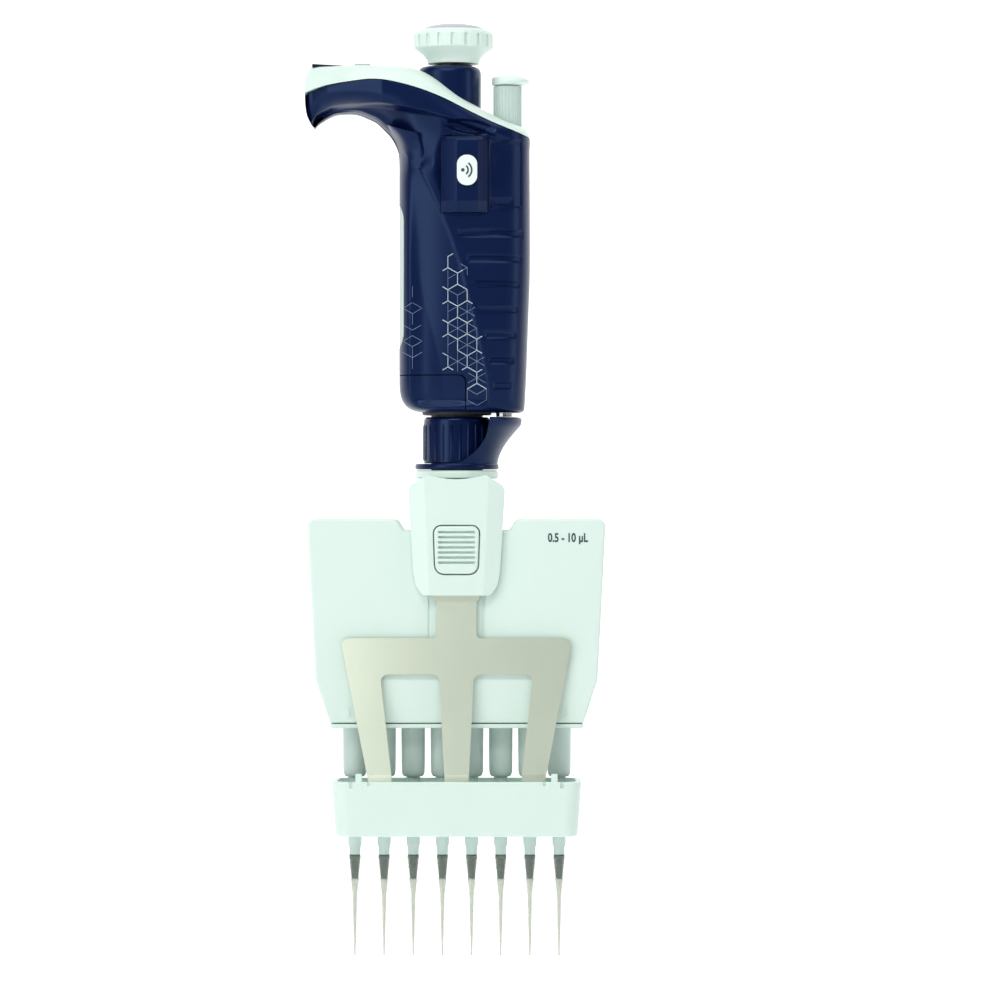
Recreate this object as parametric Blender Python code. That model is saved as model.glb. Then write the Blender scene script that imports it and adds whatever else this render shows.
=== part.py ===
"""Eight-channel motorised pipette with a finger hook, a turning manifold and eight fitted tips.

Every length here is in millimetres and is turned to metres where the meshes are made.
+X is to the right of the instrument seen from its front, +Y goes to its back, +Z is up.
The origin is on the axis the manifold turns about, level with the ends of the tips.
"""

import math

import bmesh
import bpy
from mathutils import Vector

MM = 0.001

# ---------------------------------------------------------------- clearances
GAP = 0.3  # between fixed neighbours
RUN = 0.3  # between a turning or sliding piece and its guide
PISTON_RUN = 0.08  # radial, piston in its bore

# ---------------------------------------------------------------- channels
CHANNELS = 8
PITCH = 9.0  # microplate spacing
CHANNEL_SIDES = 10  # facets of the round channel pieces

TIP_LENGTH = 31.0
TIP_COLLAR_R = 2.8
TIP_COLLAR_LENGTH = 3.9
TIP_END_R = 0.28
TIP_WALL = 0.42
CONE_TOP_R = 1.75  # nozzle cone where the tip starts
CONE_END_R = 1.0
CONE_LENGTH = 7.4
NOZZLE_R = 2.1
BARREL_R = 3.6
BARREL_LENGTH = 15.3
BARREL_FOOT = 1.6  # chamfer at the foot of the barrel
NOZZLE_FLANGE = 0.6  # how far the flange stands out of the barrel
NOZZLE_BORE_TOP = 24.0  # how far the barrel reaches above the base plate
PISTON_R = 1.0
PISTON_HEAD_R = 2.2
ORIFICE_R = 0.5

# ---------------------------------------------------------------- ejector, lower part
EJECT_GAP = 6.7  # comb to tip collar at rest
EJECT_TRAVEL = EJECT_GAP - GAP
COMB_HEIGHT = 16.8
COMB_WALL = 1.6
COMB_FLOOR = 2.0
COMB_TO_BARREL = 0.9
FORK_THICK = 1.0
FORK_STEM_HALF = 6.1
FORK_BAR_HEIGHT = 11.4
HOOD_APRON = 23.3  # how far the hood hangs below the housing's top
HOOD_RISE = 12.2  # how far it stands above it
HOOD_WALL = 1.6
LATCH_HALF_TOP = 7.45
LATCH_HALF_LOW = 6.85
LATCH_HEIGHT = 15.2
LATCH_TRAVEL = 0.8
COLLAR_HEIGHT = 2.5

# ---------------------------------------------------------------- manifold
BASE_THICK = 1.3
HOUSING_HEIGHT = 62.5
HOUSING_WALL = 2.0
HOUSING_HALF_DEPTH = 13.0
HOUSING_LOW_DEPTH = 10.6
SHELF_DROP = 3.4
NECK_R = 8.0
NECK_WALL = 2.8
NECK_FLANGE = 0.4
BOSS_CLEAR = 0.6  # between the boss and what is inside or outside it
BOSS_HALF_Y = NECK_R + NECK_FLANGE + BOSS_CLEAR + HOUSING_WALL
BOSS_HALF_X = BOSS_HALF_Y + 1.4
BOSS_RISE = 3.4
PISTON_TRAVEL = 12.0
PLATE_THICK = 4.0

# ---------------------------------------------------------------- neck, nut and arm
NUT_WALL = 2.2
NUT_R = NECK_R + RUN + NUT_WALL
NUT_HEIGHT = 14.2
NUT_RIBS = 24
BUSH_R = NUT_R + 0.2
ARM_RING_WIDTH = 2.4
ARM_RING_R = NUT_R + ARM_RING_WIDTH
COLLAR_R = ARM_RING_R - 0.15
HOOD_HALF = BOSS_HALF_X + BOSS_CLEAR + HOOD_WALL + 0.2
ARM_RING_HEIGHT = 1.6
ARM_HEIGHT = 16.0
ROD_R = 2.6
ROD_CLEAR = 1.3  # between the rod and the nut's bush
ROD_SHOULDER = 1.2

# ---------------------------------------------------------------- handle
GRIP_WIDTH = 40.2
GRIP_LENGTH = 77.6
GRIP_FRONT = 15.0
GRIP_REAR = 17.5
HOOK_REACH = 29.1
HEAD_HEIGHT = 29.2
SHELL_WALL = 2.5
GROOVES = 7
GROOVE_PITCH = 7.78
GROOVE_HEIGHT = 1.9
GROOVE_DEPTH = 0.6
PANEL_STEP = 0.5
INSERT_DEPTH = 1.3
MOTOR_R = 10.2
MOTOR_LENGTH = 24.0
BATTERY_WIDTH = 15.0
BATTERY_THICK = 2.6
BATTERY_LENGTH = 32.0
SCREW_R = 2.4
SCREW_FOOT_R = NECK_R - NECK_WALL - 1.0

# ---------------------------------------------------------------- knob, tower and ejector button
KNOB_X = -1.1
KNOB_R = 12.15
KNOB_NOTCHES = 18
KNOB_TRAVEL = 0.8
KNOB_GAP = 1.1  # between the knob's skirt and the tower
TOWER_HALF_X = 9.7
TOWER_HALF_Y = 10.4
TOWER_X = -2.3
TOWER_BORE_R = 7.0
TOWER_LENGTH = 32.5
STEM_R = 2.8
STEM_NECK_R = 5.8
BUTTON_R = 4.4

# ---------------------------------------------------------------- levels that follow from the sizes
Z_TIP_TOP = TIP_LENGTH
Z_COMB_LOW = Z_TIP_TOP + EJECT_GAP
Z_COMB_TOP = Z_COMB_LOW + COMB_HEIGHT
Z_BARREL_LOW = Z_COMB_TOP + COMB_TO_BARREL
Z_BASE_LOW = Z_BARREL_LOW + BARREL_LENGTH
Z_BASE_TOP = Z_BASE_LOW + BASE_THICK
Z_HOUSING_LOW = Z_BASE_TOP + GAP
Z_HOUSING_TOP = Z_HOUSING_LOW + HOUSING_HEIGHT
Z_SHELF = Z_HOUSING_TOP - SHELF_DROP
Z_BOSS = Z_HOUSING_TOP + BOSS_RISE
Z_HOOD_LOW = Z_HOUSING_TOP - HOOD_APRON
Z_HOOD_TOP = Z_HOUSING_TOP + HOOD_RISE
Z_HOOD_SKIRT = Z_SHELF + EJECT_TRAVEL + 2 * GAP
Z_COLLAR_LOW = Z_HOOD_TOP + GAP
Z_COLLAR_TOP = Z_COLLAR_LOW + COLLAR_HEIGHT
Z_RING_LOW = Z_COLLAR_TOP + GAP
Z_RING_TOP = Z_RING_LOW + ARM_RING_HEIGHT
Z_ARM_TOP = Z_RING_LOW + ARM_HEIGHT
Z_NUT_LOW = Z_RING_TOP + GAP
Z_NUT_TOP = Z_NUT_LOW + NUT_HEIGHT
Z_BUSH_LOW = Z_NUT_TOP + 2 * GAP
Z_BODY = Z_BUSH_LOW + 0.8
Z_NECK_TOP = Z_BODY + 12.0

SPAN = PITCH * (CHANNELS - 1)
STRETCH = PITCH / 9.0

# the drive: its foot rests on the piston plate with the pistons at the top of their stroke
Z_NECK_LOW = Z_BOSS - 17.0
Z_FOOT_LOW = Z_NECK_LOW - 2.7
Z_PLATE_TOP = Z_FOOT_LOW - GAP - 1.0
Z_PLATE_LOW = Z_PLATE_TOP - PLATE_THICK
Z_HEAD_TOP = Z_PLATE_LOW - GAP
Z_NOZZLE_TOP = Z_BASE_TOP + NOZZLE_BORE_TOP

# front-to-back places
FORK_BACK = -(HOUSING_HALF_DEPTH + 0.5)
FORK_FRONT = FORK_BACK - FORK_THICK
HOOD_BACK_FACE = -(HOUSING_HALF_DEPTH + 0.4)
HOOD_FRONT = HOOD_BACK_FACE - 3.6
COMB_FRONT = FORK_FRONT - GAP - COMB_WALL
COMB_REAR = 9.4


def handle_x(x):
    """X of a point of the handle: the grip follows GRIP_WIDTH and the hook HOOK_REACH."""
    k = GRIP_WIDTH / 40.2
    if x >= -17.8:
        return x * k
    return -17.8 * k + (x + 17.8) * HOOK_REACH / 29.1


def handle_z(z):
    """Z of a point of the handle, z being its height over the handle's foot."""
    if z <= 77.6:
        return Z_BODY + z * GRIP_LENGTH / 77.6
    return Z_BODY + GRIP_LENGTH + (z - 77.6) * HEAD_HEIGHT / 29.2


ROD_X = BUSH_R + ROD_CLEAR + ROD_R
BUTTON_X = ROD_X + 1.0
ARM_TOP_R = ROD_X + 5.4
Z_TOWER_TOP = handle_z(106.5)
Z_TOWER_LOW = Z_TOWER_TOP - TOWER_LENGTH
Z_KNOB_LOW = Z_TOWER_TOP + KNOB_GAP
Z_BUTTON_LOW = handle_z(80.7)
Z_BUTTON_TOP = handle_z(100.7)
Z_MOTOR_LOW = Z_BODY + 30.4
Z_SCREW_TOP = Z_MOTOR_LOW + MOTOR_LENGTH + PISTON_TRAVEL + 2.0


# ---------------------------------------------------------------- scene and materials
def clear_scene():
    for obj in list(bpy.data.objects):
        bpy.data.objects.remove(obj, do_unlink=True)


def to_linear(channel):
    return channel / 12.92 if channel <= 0.04045 else ((channel + 0.055) / 1.055) ** 2.4


def material(name, colour, roughness, metallic=0.0, alpha=1.0):
    """A Principled material; colour is an sRGB hex number."""
    found = bpy.data.materials.new(name)
    found.use_nodes = True
    shader = found.node_tree.nodes["Principled BSDF"]
    rgb = [to_linear(((colour >> shift) & 255) / 255) for shift in (16, 8, 0)]
    shader.inputs["Base Color"].default_value = (*rgb, 1.0)
    shader.inputs["Roughness"].default_value = roughness
    shader.inputs["Metallic"].default_value = metallic
    shader.inputs["Alpha"].default_value = alpha
    found.diffuse_color = (*rgb, alpha)
    return found


NAVY = (0x14214A, 0.34)
WHITE = (0xE2F0E9, 0.42)
GREY = (0xA9C2BA, 0.45)
STEEL = (0xC4C6B6, 0.3, 1.0)
BLACK = (0x10141C, 0.5)


# ---------------------------------------------------------------- mesh helpers
def make(name, points, faces, look=None):
    """An object from points in millimetres, its faces turned outwards."""
    mesh = bpy.data.meshes.new(name)
    mesh.from_pydata([Vector(p) * MM for p in points], [], faces)
    work = bmesh.new()
    work.from_mesh(mesh)
    bmesh.ops.recalc_face_normals(work, faces=work.faces)
    work.to_mesh(mesh)
    work.free()
    obj = bpy.data.objects.new(name, mesh)
    bpy.context.scene.collection.objects.link(obj)
    if look:
        mesh.materials.append(material(name, *look))
        mesh.shade_smooth()
        mesh.set_sharp_from_angle(angle=math.radians(32))
    return obj


def loft(rings):
    """Points and faces of a solid through rings of equal count, its two ends closed by fans."""
    count = len(rings[0])
    points = [p for ring in rings for p in ring]
    faces = []
    for i in range(len(rings) - 1):
        for j in range(count):
            k = (j + 1) % count
            faces.append(
                (i * count + j, i * count + k, (i + 1) * count + k, (i + 1) * count + j)
            )
    for ring, start in ((rings[0], 0), (rings[-1], (len(rings) - 1) * count)):
        centre = [sum(p[axis] for p in ring) / count for axis in range(3)]
        points.append(centre)
        hub = len(points) - 1
        for j in range(count):
            faces.append((start + j, start + (j + 1) % count, hub))
    return points, faces


def turned(profile, sides, x=0.0, y=0.0, ripple=None):
    """A closed (radius, z) profile turned about an upright axis. A radius of 0 is a pole."""
    points, faces, rows = [], [], []
    for index, (radius, z) in enumerate(profile):
        row = []
        for j in range(1 if radius == 0 else sides):
            angle = 2 * math.pi * (j + 0.5) / sides
            r = radius + (ripple(index, j) if ripple and radius else 0.0)
            row.append(len(points))
            points.append((x + r * math.cos(angle), y + r * math.sin(angle), z))
        rows.append(row)
    closed = profile[0][0] > 0 and profile[-1][0] > 0
    for i in range(len(rows) if closed else len(rows) - 1):
        low, high = rows[i], rows[(i + 1) % len(rows)]
        for j in range(sides):
            k = (j + 1) % sides
            if len(low) == 1 and len(high) == 1:
                continue
            if len(low) == 1:
                faces.append((low[0], high[k], high[j]))
            elif len(high) == 1:
                faces.append((low[j], low[k], high[0]))
            else:
                faces.append((low[j], low[k], high[k], high[j]))
    return points, faces


def prism(outline, low, high, axis="Y"):
    """A closed outline drawn out along an axis: (x, z) points for Y, (x, y) for Z, (y, z) for X."""
    place = {
        "X": lambda a, b, t: (t, a, b),
        "Y": lambda a, b, t: (a, t, b),
        "Z": lambda a, b, t: (a, b, t),
    }[axis]
    count = len(outline)
    points = [place(a, b, t) for t in (low, high) for a, b in outline]
    faces = [tuple(range(count)), tuple(range(count, 2 * count))]
    for j in range(count):
        k = (j + 1) % count
        faces.append((j, k, count + k, count + j))
    return points, faces


def box(low, high):
    outline = [(low[0], low[2]), (high[0], low[2]), (high[0], high[2]), (low[0], high[2])]
    return prism(outline, low[1], high[1])


def rounded(corners, steps=3):
    """An outline from (a, b, radius) corners, each rounded by its own radius."""
    out = []
    count = len(corners)
    for i, (a, b, radius) in enumerate(corners):
        here = Vector((a, b))
        if radius <= 0:
            out.append((a, b))
            continue
        before = (Vector(corners[i - 1][:2]) - here).normalized()
        after = (Vector(corners[(i + 1) % count][:2]) - here).normalized()
        half = before.angle(after) / 2
        reach = radius / math.tan(half)
        centre = here + (before + after).normalized() * (radius / math.sin(half))
        start = here + before * reach - centre
        end = here + after * reach - centre
        sweep = start.angle_signed(end)
        for step in range(steps + 1):
            turn = -sweep * step / steps
            out.append(
                (
                    centre.x + start.x * math.cos(turn) - start.y * math.sin(turn),
                    centre.y + start.x * math.sin(turn) + start.y * math.cos(turn),
                )
            )
    return out


def mirrored(half):
    """A whole outline from its right half, listed from the bottom to the top."""
    left = [(-a, *rest) for a, *rest in reversed(half)]
    return list(half) + left


def oval(x, y, half_x, half_y, z, count, squareness=2.0):
    ring = []
    for j in range(count):
        angle = 2 * math.pi * j / count
        c, s = math.cos(angle), math.sin(angle)
        ring.append(
            (
                x + half_x * math.copysign(abs(c) ** (2 / squareness), c),
                y + half_y * math.copysign(abs(s) ** (2 / squareness), s),
                z,
            )
        )
    return ring


def boolean(target, cutter, operation, keep=False):
    """The Boolean worked out at once, and its cutter taken away unless it is kept."""
    modifier = target.modifiers.new(operation.lower(), "BOOLEAN")
    modifier.operation = operation
    modifier.solver = "EXACT"
    modifier.object = cutter
    graph = bpy.context.evaluated_depsgraph_get()
    result = bpy.data.meshes.new_from_object(target.evaluated_get(graph))
    target.modifiers.remove(modifier)
    old = target.data
    target.data = result
    bpy.data.meshes.remove(old)
    if not keep:
        bpy.data.objects.remove(cutter, do_unlink=True)
    return target


def cut(target, shape):
    return boolean(target, make("cutter", *shape), "DIFFERENCE")


def join(target, shape):
    return boolean(target, make("joined", *shape), "UNION")


def keep_inside(target, shape):
    return boolean(target, make("kept", *shape), "INTERSECT")


def copy_of(source, name):
    obj = bpy.data.objects.new(name, source.data.copy())
    obj.data.name = name
    bpy.context.scene.collection.objects.link(obj)
    return obj


def finish(obj, look):
    """Its own material and smooth shading, after the last cut."""
    obj.data.materials.clear()
    obj.data.materials.append(material(obj.name, *look))
    obj.data.shade_smooth()
    obj.data.set_sharp_from_angle(angle=math.radians(32))
    return obj


def soften(obj, width, segments=2, angle=50):
    """Rounds the sharp edges of a piece."""
    bevel = obj.modifiers.new("soften", "BEVEL")
    bevel.width = width * MM
    bevel.segments = segments
    bevel.limit_method = "ANGLE"
    bevel.angle_limit = math.radians(angle)
    bevel.use_clamp_overlap = True
    graph = bpy.context.evaluated_depsgraph_get()
    result = bpy.data.meshes.new_from_object(obj.evaluated_get(graph))
    obj.modifiers.remove(bevel)
    old = obj.data
    obj.data = result
    bpy.data.meshes.remove(old)
    return obj


def smooth_path(knots, steps):
    """Points of a Catmull-Rom curve through the knots, tuples of any length."""
    out = []
    for i in range(len(knots) - 1):
        a = knots[max(i - 1, 0)]
        b, c = knots[i], knots[i + 1]
        d = knots[min(i + 2, len(knots) - 1)]
        for step in range(steps):
            t = step / steps
            out.append(
                tuple(
                    0.5
                    * (
                        2 * q
                        + (r - p) * t
                        + (2 * p - 5 * q + 4 * r - s) * t * t
                        + (3 * q - p - 3 * r + s) * t**3
                    )
                    for p, q, r, s in zip(a, b, c, d)
                )
            )
    out.append(tuple(knots[-1]))
    return out


# ---------------------------------------------------------------- bodies
BODIES = {
    "handle_frame": (0, 0, Z_BODY),
    "knob_press": (KNOB_X, 0, Z_TOWER_TOP),
    "knob_turn": (KNOB_X, 0, Z_KNOB_LOW),
    "ejector_press": (ROD_X, 0, Z_ARM_TOP),
    "nut_turn": (0, 0, Z_NUT_LOW),
    "manifold_turn": (0, 0, Z_BOSS),
    "lower_eject": (0, 0, Z_HOOD_TOP),
    "latch_push": (0, HOOD_FRONT, Z_HOOD_LOW),
    "drive_slide": (0, 0, Z_FOOT_LOW),
    "piston_slide": (0, 0, Z_PLATE_TOP),
    "tip_pull": (0, 0, Z_TIP_TOP),
    "door_slide": (handle_x(-17.7), 0, handle_z(5)),
    "key_left_push": (handle_x(-29), 0, handle_z(106)),
    "key_right_push": (handle_x(-29), 0, handle_z(106)),
}
EMPTIES = {}


def add_bodies():
    for name, place in BODIES.items():
        empty = bpy.data.objects.new(name, None)
        empty.empty_display_size = 0.01
        empty.location = Vector(place) * MM
        bpy.context.scene.collection.objects.link(empty)
        EMPTIES[name] = empty


def put_in(body, *objects):
    """Hangs pieces on the empty of their joint, so that each one's origin is on its axis."""
    empty = EMPTIES[body]
    for obj in objects:
        shift = empty.location
        for vertex in obj.data.vertices:
            vertex.co = vertex.co - shift
        obj.parent = empty


# ---------------------------------------------------------------- handle
# Stations across the handle from its foot to the tip of the hook: the palm-side point (x, z), the
# outer point (x, z), the depth to the front and to the back, and how square the section is.
STATIONS = (
    (-9.9, 0.0, 19.6, 0.0, 11.0, 12.0, 3.0),
    (-13.6, 0.7, 20.6, 0.6, 12.9, 13.9, 3.0),
    (-16.2, 2.6, 20.9, 2.4, 13.9, 15.0, 3.0),
    (-17.5, 6.0, 21.1, 6.0, 14.4, 15.8, 3.0),
    (-17.75, 12.0, 21.4, 12.0, 14.7, 16.4, 3.0),
    (-17.75, 26.0, 21.9, 26.0, 15.0, 17.2, 3.0),
    (-17.75, 44.0, 22.5, 44.0, 15.0, 17.5, 3.0),
    (-17.75, 62.0, 22.5, 63.0, 15.0, 17.3, 3.0),
    (-17.8, 77.6, 22.4, 79.0, 15.0, 16.6, 3.0),
    (-18.4, 81.2, 22.4, 84.9, 15.0, 16.3, 3.1),
    (-19.4, 83.4, 20.6, 87.5, 15.0, 16.2, 3.2),
    (-20.6, 85.3, 13.8, 90.3, 15.0, 16.0, 3.3),
    (-22.4, 87.2, 4.5, 95.3, 15.0, 15.8, 3.4),
    (-25.0, 89.6, -6.0, 102.8, 15.0, 15.5, 3.5),
    (-27.6, 90.9, -14.5, 106.1, 15.0, 15.2, 3.6),
    (-30.3, 92.0, -23.0, 106.7, 14.9, 15.0, 3.6),
    (-33.0, 92.4, -31.0, 106.8, 14.8, 14.8, 3.6),
    (-37.2, 92.1, -39.0, 106.6, 14.6, 14.6, 3.6),
    (-39.6, 91.1, -43.6, 106.3, 14.3, 14.3, 3.5),
    (-41.4, 90.0, -46.2, 104.6, 13.9, 13.9, 3.4),
    (-42.7, 89.1, -46.8, 98.0, 13.0, 13.0, 3.2),
    (-43.4, 88.4, -46.3, 92.0, 11.6, 11.6, 3.0),
    (-43.8, 87.9, -44.9, 88.8, 9.5, 9.5, 2.6),
)


def inset_stations(depth, first, last):
    """The stations moved inwards by a depth, square to the outline."""
    knots = []
    for i in range(first, last + 1):
        before = STATIONS[max(i - 1, 0)]
        here = STATIONS[i]
        after = STATIONS[min(i + 1, len(STATIONS) - 1)]
        ends = []
        for side, turn in ((0, 1), (2, -1)):
            run = Vector((after[side] - before[side], after[side + 1] - before[side + 1]))
            run.normalize()
            # the outline runs from the foot to the hook, so the solid is on the right of its
            # palm side and on the left of its outer side
            inward = Vector((run.y, -run.x)) * turn
            ends += [
                handle_x(here[side]) + inward.x * depth,
                handle_z(here[side + 1]) + inward.y * depth,
            ]
        front = here[4] * GRIP_FRONT / 15.0 - depth
        rear = here[5] * GRIP_REAR / 17.5 - depth
        knots.append((*ends, front, rear, here[6]))
    return knots


def handle_solid(depth=0.0, steps=1, count=20, first=0, last=None):
    last = len(STATIONS) - 1 if last is None else last
    rings = []
    for lx, lz, rx, rz, front, rear, square in smooth_path(
        inset_stations(depth, first, last), steps
    ):
        ring = []
        for j in range(count):
            angle = 2 * math.pi * j / count
            c, s = math.cos(angle), math.sin(angle)
            across = math.copysign(abs(c) ** (2 / square), c)
            along = math.copysign(abs(s) ** (2 / square), s)
            ring.append(
                (
                    (lx + rx) / 2 + across * (rx - lx) / 2,
                    along * (rear if along > 0 else front),
                    (lz + rz) / 2 + across * (rz - lz) / 2,
                )
            )
        rings.append(ring)
    return loft(rings)


def handle_cavity():
    """The hollow inside the handle, from its flat floor to the root of the hook's tip."""
    count = 16
    points, faces = handle_solid(SHELL_WALL, steps=1, count=count, first=2, last=18)
    hub = len(points) - 2
    for j in [*range(count), hub]:
        points[j] = (points[j][0], points[j][1], Z_BODY + SHELL_WALL)
    return points, faces


def trim_region(shift):
    """The space over the line where the pale cover meets the dark shells."""
    line = (
        (-46.8, 97.9),
        (-39.9, 100.2),
        (-30.3, 101.6),
        (-25.0, 101.8),
        (-19.7, 101.1),
        (-11.7, 99.0),
        (-3.7, 95.9),
        (4.3, 91.9),
        (12.2, 88.2),
        (22.4, 84.2),
    )
    low = [(handle_x(x), handle_z(z) + shift) for x, z in line]
    left, right = low[0][0] - 20, low[-1][0] + 20
    outline = [(left, low[0][1] - 3.5), *low, (right, low[-1][1] - 7.5)]
    top = handle_z(106.8) + 30
    outline += [(right, top), (left, top)]
    return prism(outline, -40, 40)


def door_region(grow):
    x, z = handle_x(2.6) + grow, handle_z(11.2) + grow
    left, low = handle_x(-17.8) - 10, Z_BODY - 10
    outline = rounded([(left, low, 0), (x, low, 0), (x, z, 2.0), (left, z, 0)])
    return prism(outline, -40, 5)


def insert_region(grow):
    low, high = handle_z(20.0) - grow, handle_z(63.5) + grow
    half = 9.5 + grow
    outline = rounded(
        [(-half, low, 5), (half, low, 5), (half, high, 5), (-half, high, 5)], 3
    )
    return prism(outline, handle_x(-17.8) - 10, 0, "X")


MODULE_X = (-4.8, 9.5)
MODULE_Z = (60.9, 84.2)


def module_pocket():
    return box(
        (handle_x(MODULE_X[0]) - GAP, -40, handle_z(MODULE_Z[0]) - GAP),
        (handle_x(MODULE_X[1]) + GAP, -GRIP_FRONT + 2.9, handle_z(MODULE_Z[1]) + GAP),
    )


def groove_shapes():
    """Grooves across the right-hand panel; their left ends follow its slanted edge."""
    shapes = []
    for i in range(GROOVES):
        t = i / (GROOVES - 1)
        z = handle_z(54.6) - i * GROOVE_PITCH * GRIP_LENGTH / 77.6
        left = handle_x(0.4 + 10.9 * t**0.72)
        right = handle_x(20.4 - 3.5 * t)
        half = GROOVE_HEIGHT / 2
        outline = rounded(
            [
                (left, z - half, 0.6),
                (right, z - half, 0.6),
                (right, z + half, 0.6),
                (left, z + half, 0.6),
            ],
            1,
        )
        shapes.append(prism(outline, -40, -2))
    return shapes


def wedge_region():
    """The lower ground on the left of the slanted edge."""
    edge = (
        (-15.0, 78.4),
        (-10.6, 73.4),
        (-5.9, 63.9),
        (-1.5, 53.4),
        (4.0, 34.4),
        (7.0, 22.4),
        (9.6, 10.4),
        (10.6, -4.0),
    )
    line = [(handle_x(x), handle_z(z)) for x, z in edge]
    left = handle_x(-17.8) - 10
    return prism([(left, line[-1][1]), *reversed(line), (left, line[0][1] - 5)], -40, -1)


def build_handle():
    solid = make("solid", *handle_solid())
    shallow = make("shallow", *handle_solid(GROOVE_DEPTH))
    panel = make("panel", *handle_solid(PANEL_STEP))

    trim = copy_of(solid, "top_trim")
    keep_inside(trim, trim_region(GAP / 2))
    insert = copy_of(solid, "side_insert")
    keep_inside(insert, insert_region(0.0))
    cut(insert, handle_solid(INSERT_DEPTH, last=12))

    shell = copy_of(solid, "shell")
    bpy.data.objects.remove(solid, do_unlink=True)
    cut(shell, trim_region(-GAP / 2))
    pocket = make("pocket", *insert_region(GAP))
    cut(pocket, handle_solid(INSERT_DEPTH + GAP, last=12))
    boolean(shell, pocket, "DIFFERENCE")
    wedge = make("wedge", *wedge_region())
    boolean(wedge, panel, "DIFFERENCE")
    boolean(shell, wedge, "DIFFERENCE")
    ledge = make(
        "ledge",
        *box(
            (handle_x(11.3), -40, handle_z(62.6)),
            (handle_x(19.8), -2, handle_z(83.0)),
        ),
    )
    boolean(ledge, shallow, "DIFFERENCE", keep=True)
    boolean(shell, ledge, "DIFFERENCE")
    for shape in groove_shapes():
        groove = make("groove", *shape)
        boolean(groove, shallow, "DIFFERENCE", keep=True)
        boolean(shell, groove, "DIFFERENCE")
    bpy.data.objects.remove(shallow, do_unlink=True)

    cut(shell, handle_cavity())
    cut(trim, handle_cavity())
    cut(shell, module_pocket())
    hole_top = Z_BODY + SHELL_WALL + 1
    cut(shell, turned([(0, Z_BODY - 4), (BUSH_R + 0.5, Z_BODY - 4), (BUSH_R + 0.5, hole_top),
                       (0, hole_top)], 32))
    cut(shell, turned([(0, Z_BODY - 4), (ROD_R + RUN, Z_BODY - 4), (ROD_R + RUN, hole_top),
                       (0, hole_top)], 16, ROD_X))
    # the rod's own way up through the handle, clear of its shoulder and spring
    way, way_low = ROD_R + ROD_SHOULDER + RUN, Z_BODY + SHELL_WALL + GAP / 2
    cut(shell, turned([(0, way_low), (way, way_low), (way, Z_BUTTON_LOW), (0, Z_BUTTON_LOW)],
                      16, ROD_X))

    tower_ring = oval(TOWER_X, 0, TOWER_HALF_X + GAP, TOWER_HALF_Y + GAP, 0, 28, 2.2)
    stem_low = Z_BUTTON_LOW - EJECT_TRAVEL - 1.0
    for piece in (shell, trim):
        cut(piece, prism([p[:2] for p in tower_ring], Z_TOWER_LOW - GAP, Z_TOWER_TOP + 20, "Z"))
        cut(piece, turned([(0, stem_low), (BUTTON_R + RUN, stem_low),
                           (BUTTON_R + RUN, Z_TOWER_TOP + 9), (0, Z_TOWER_TOP + 9)], 24,
                          BUTTON_X))
    for low, high in (display_box(GAP), key_box(-1, RUN), key_box(1, RUN)):
        high = (high[0], high[1], high[2] + 20)
        cut(trim, box(low, high))

    door = copy_of(shell, "battery_door")
    keep_inside(door, door_region(0.0))
    keep_inside(door, box((-80, -80, 0), (80, -GAP / 2, 400)))
    front = copy_of(shell, "handle_front")
    keep_inside(front, box((-80, -80, 0), (80, -GAP / 2, 400)))
    cut(front, door_region(GAP))
    rear = copy_of(shell, "handle_rear")
    keep_inside(rear, box((-80, GAP / 2, 0), (80, 80, 400)))
    bpy.data.objects.remove(shell, do_unlink=True)

    for obj, look in (
        (front, NAVY),
        (rear, NAVY),
        (door, NAVY),
        (trim, WHITE),
        (insert, (0xD5DEDA, 0.6)),
    ):
        finish(obj, look)
    put_in("handle_frame", front, rear, trim, insert)
    put_in("door_slide", door)


def display_box(grow):
    return (
        (handle_x(-44.4) - grow, -9.6 - grow, handle_z(105.7) - grow),
        (handle_x(-33.4) + grow, 9.6 + grow, handle_z(106.9)),
    )


def key_box(side, grow):
    """One of the two soft keys; the recess is deeper by the key's own travel."""
    near, far = 0.9, 8.3
    y = sorted((side * near, side * far))
    down = grow + 0.5 if grow else 0.0
    return (
        (handle_x(-31.6) - grow, y[0] - grow, handle_z(105.7) - down),
        (handle_x(-26.4) + grow, y[1] + grow, handle_z(107.1)),
    )


def build_display():
    window = make("display_window", *box(*display_box(0.0)))
    soften(window, 0.4, 2)
    finish(window, (0x151A20, 0.12))
    put_in("handle_frame", window)
    for side, name in ((-1, "key_left"), (1, "key_right")):
        key = make(name, *box(*key_box(side, 0.0)))
        soften(key, 0.5, 2)
        finish(key, (0x8E979A, 0.5))
        put_in(name + "_push", key)


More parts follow.
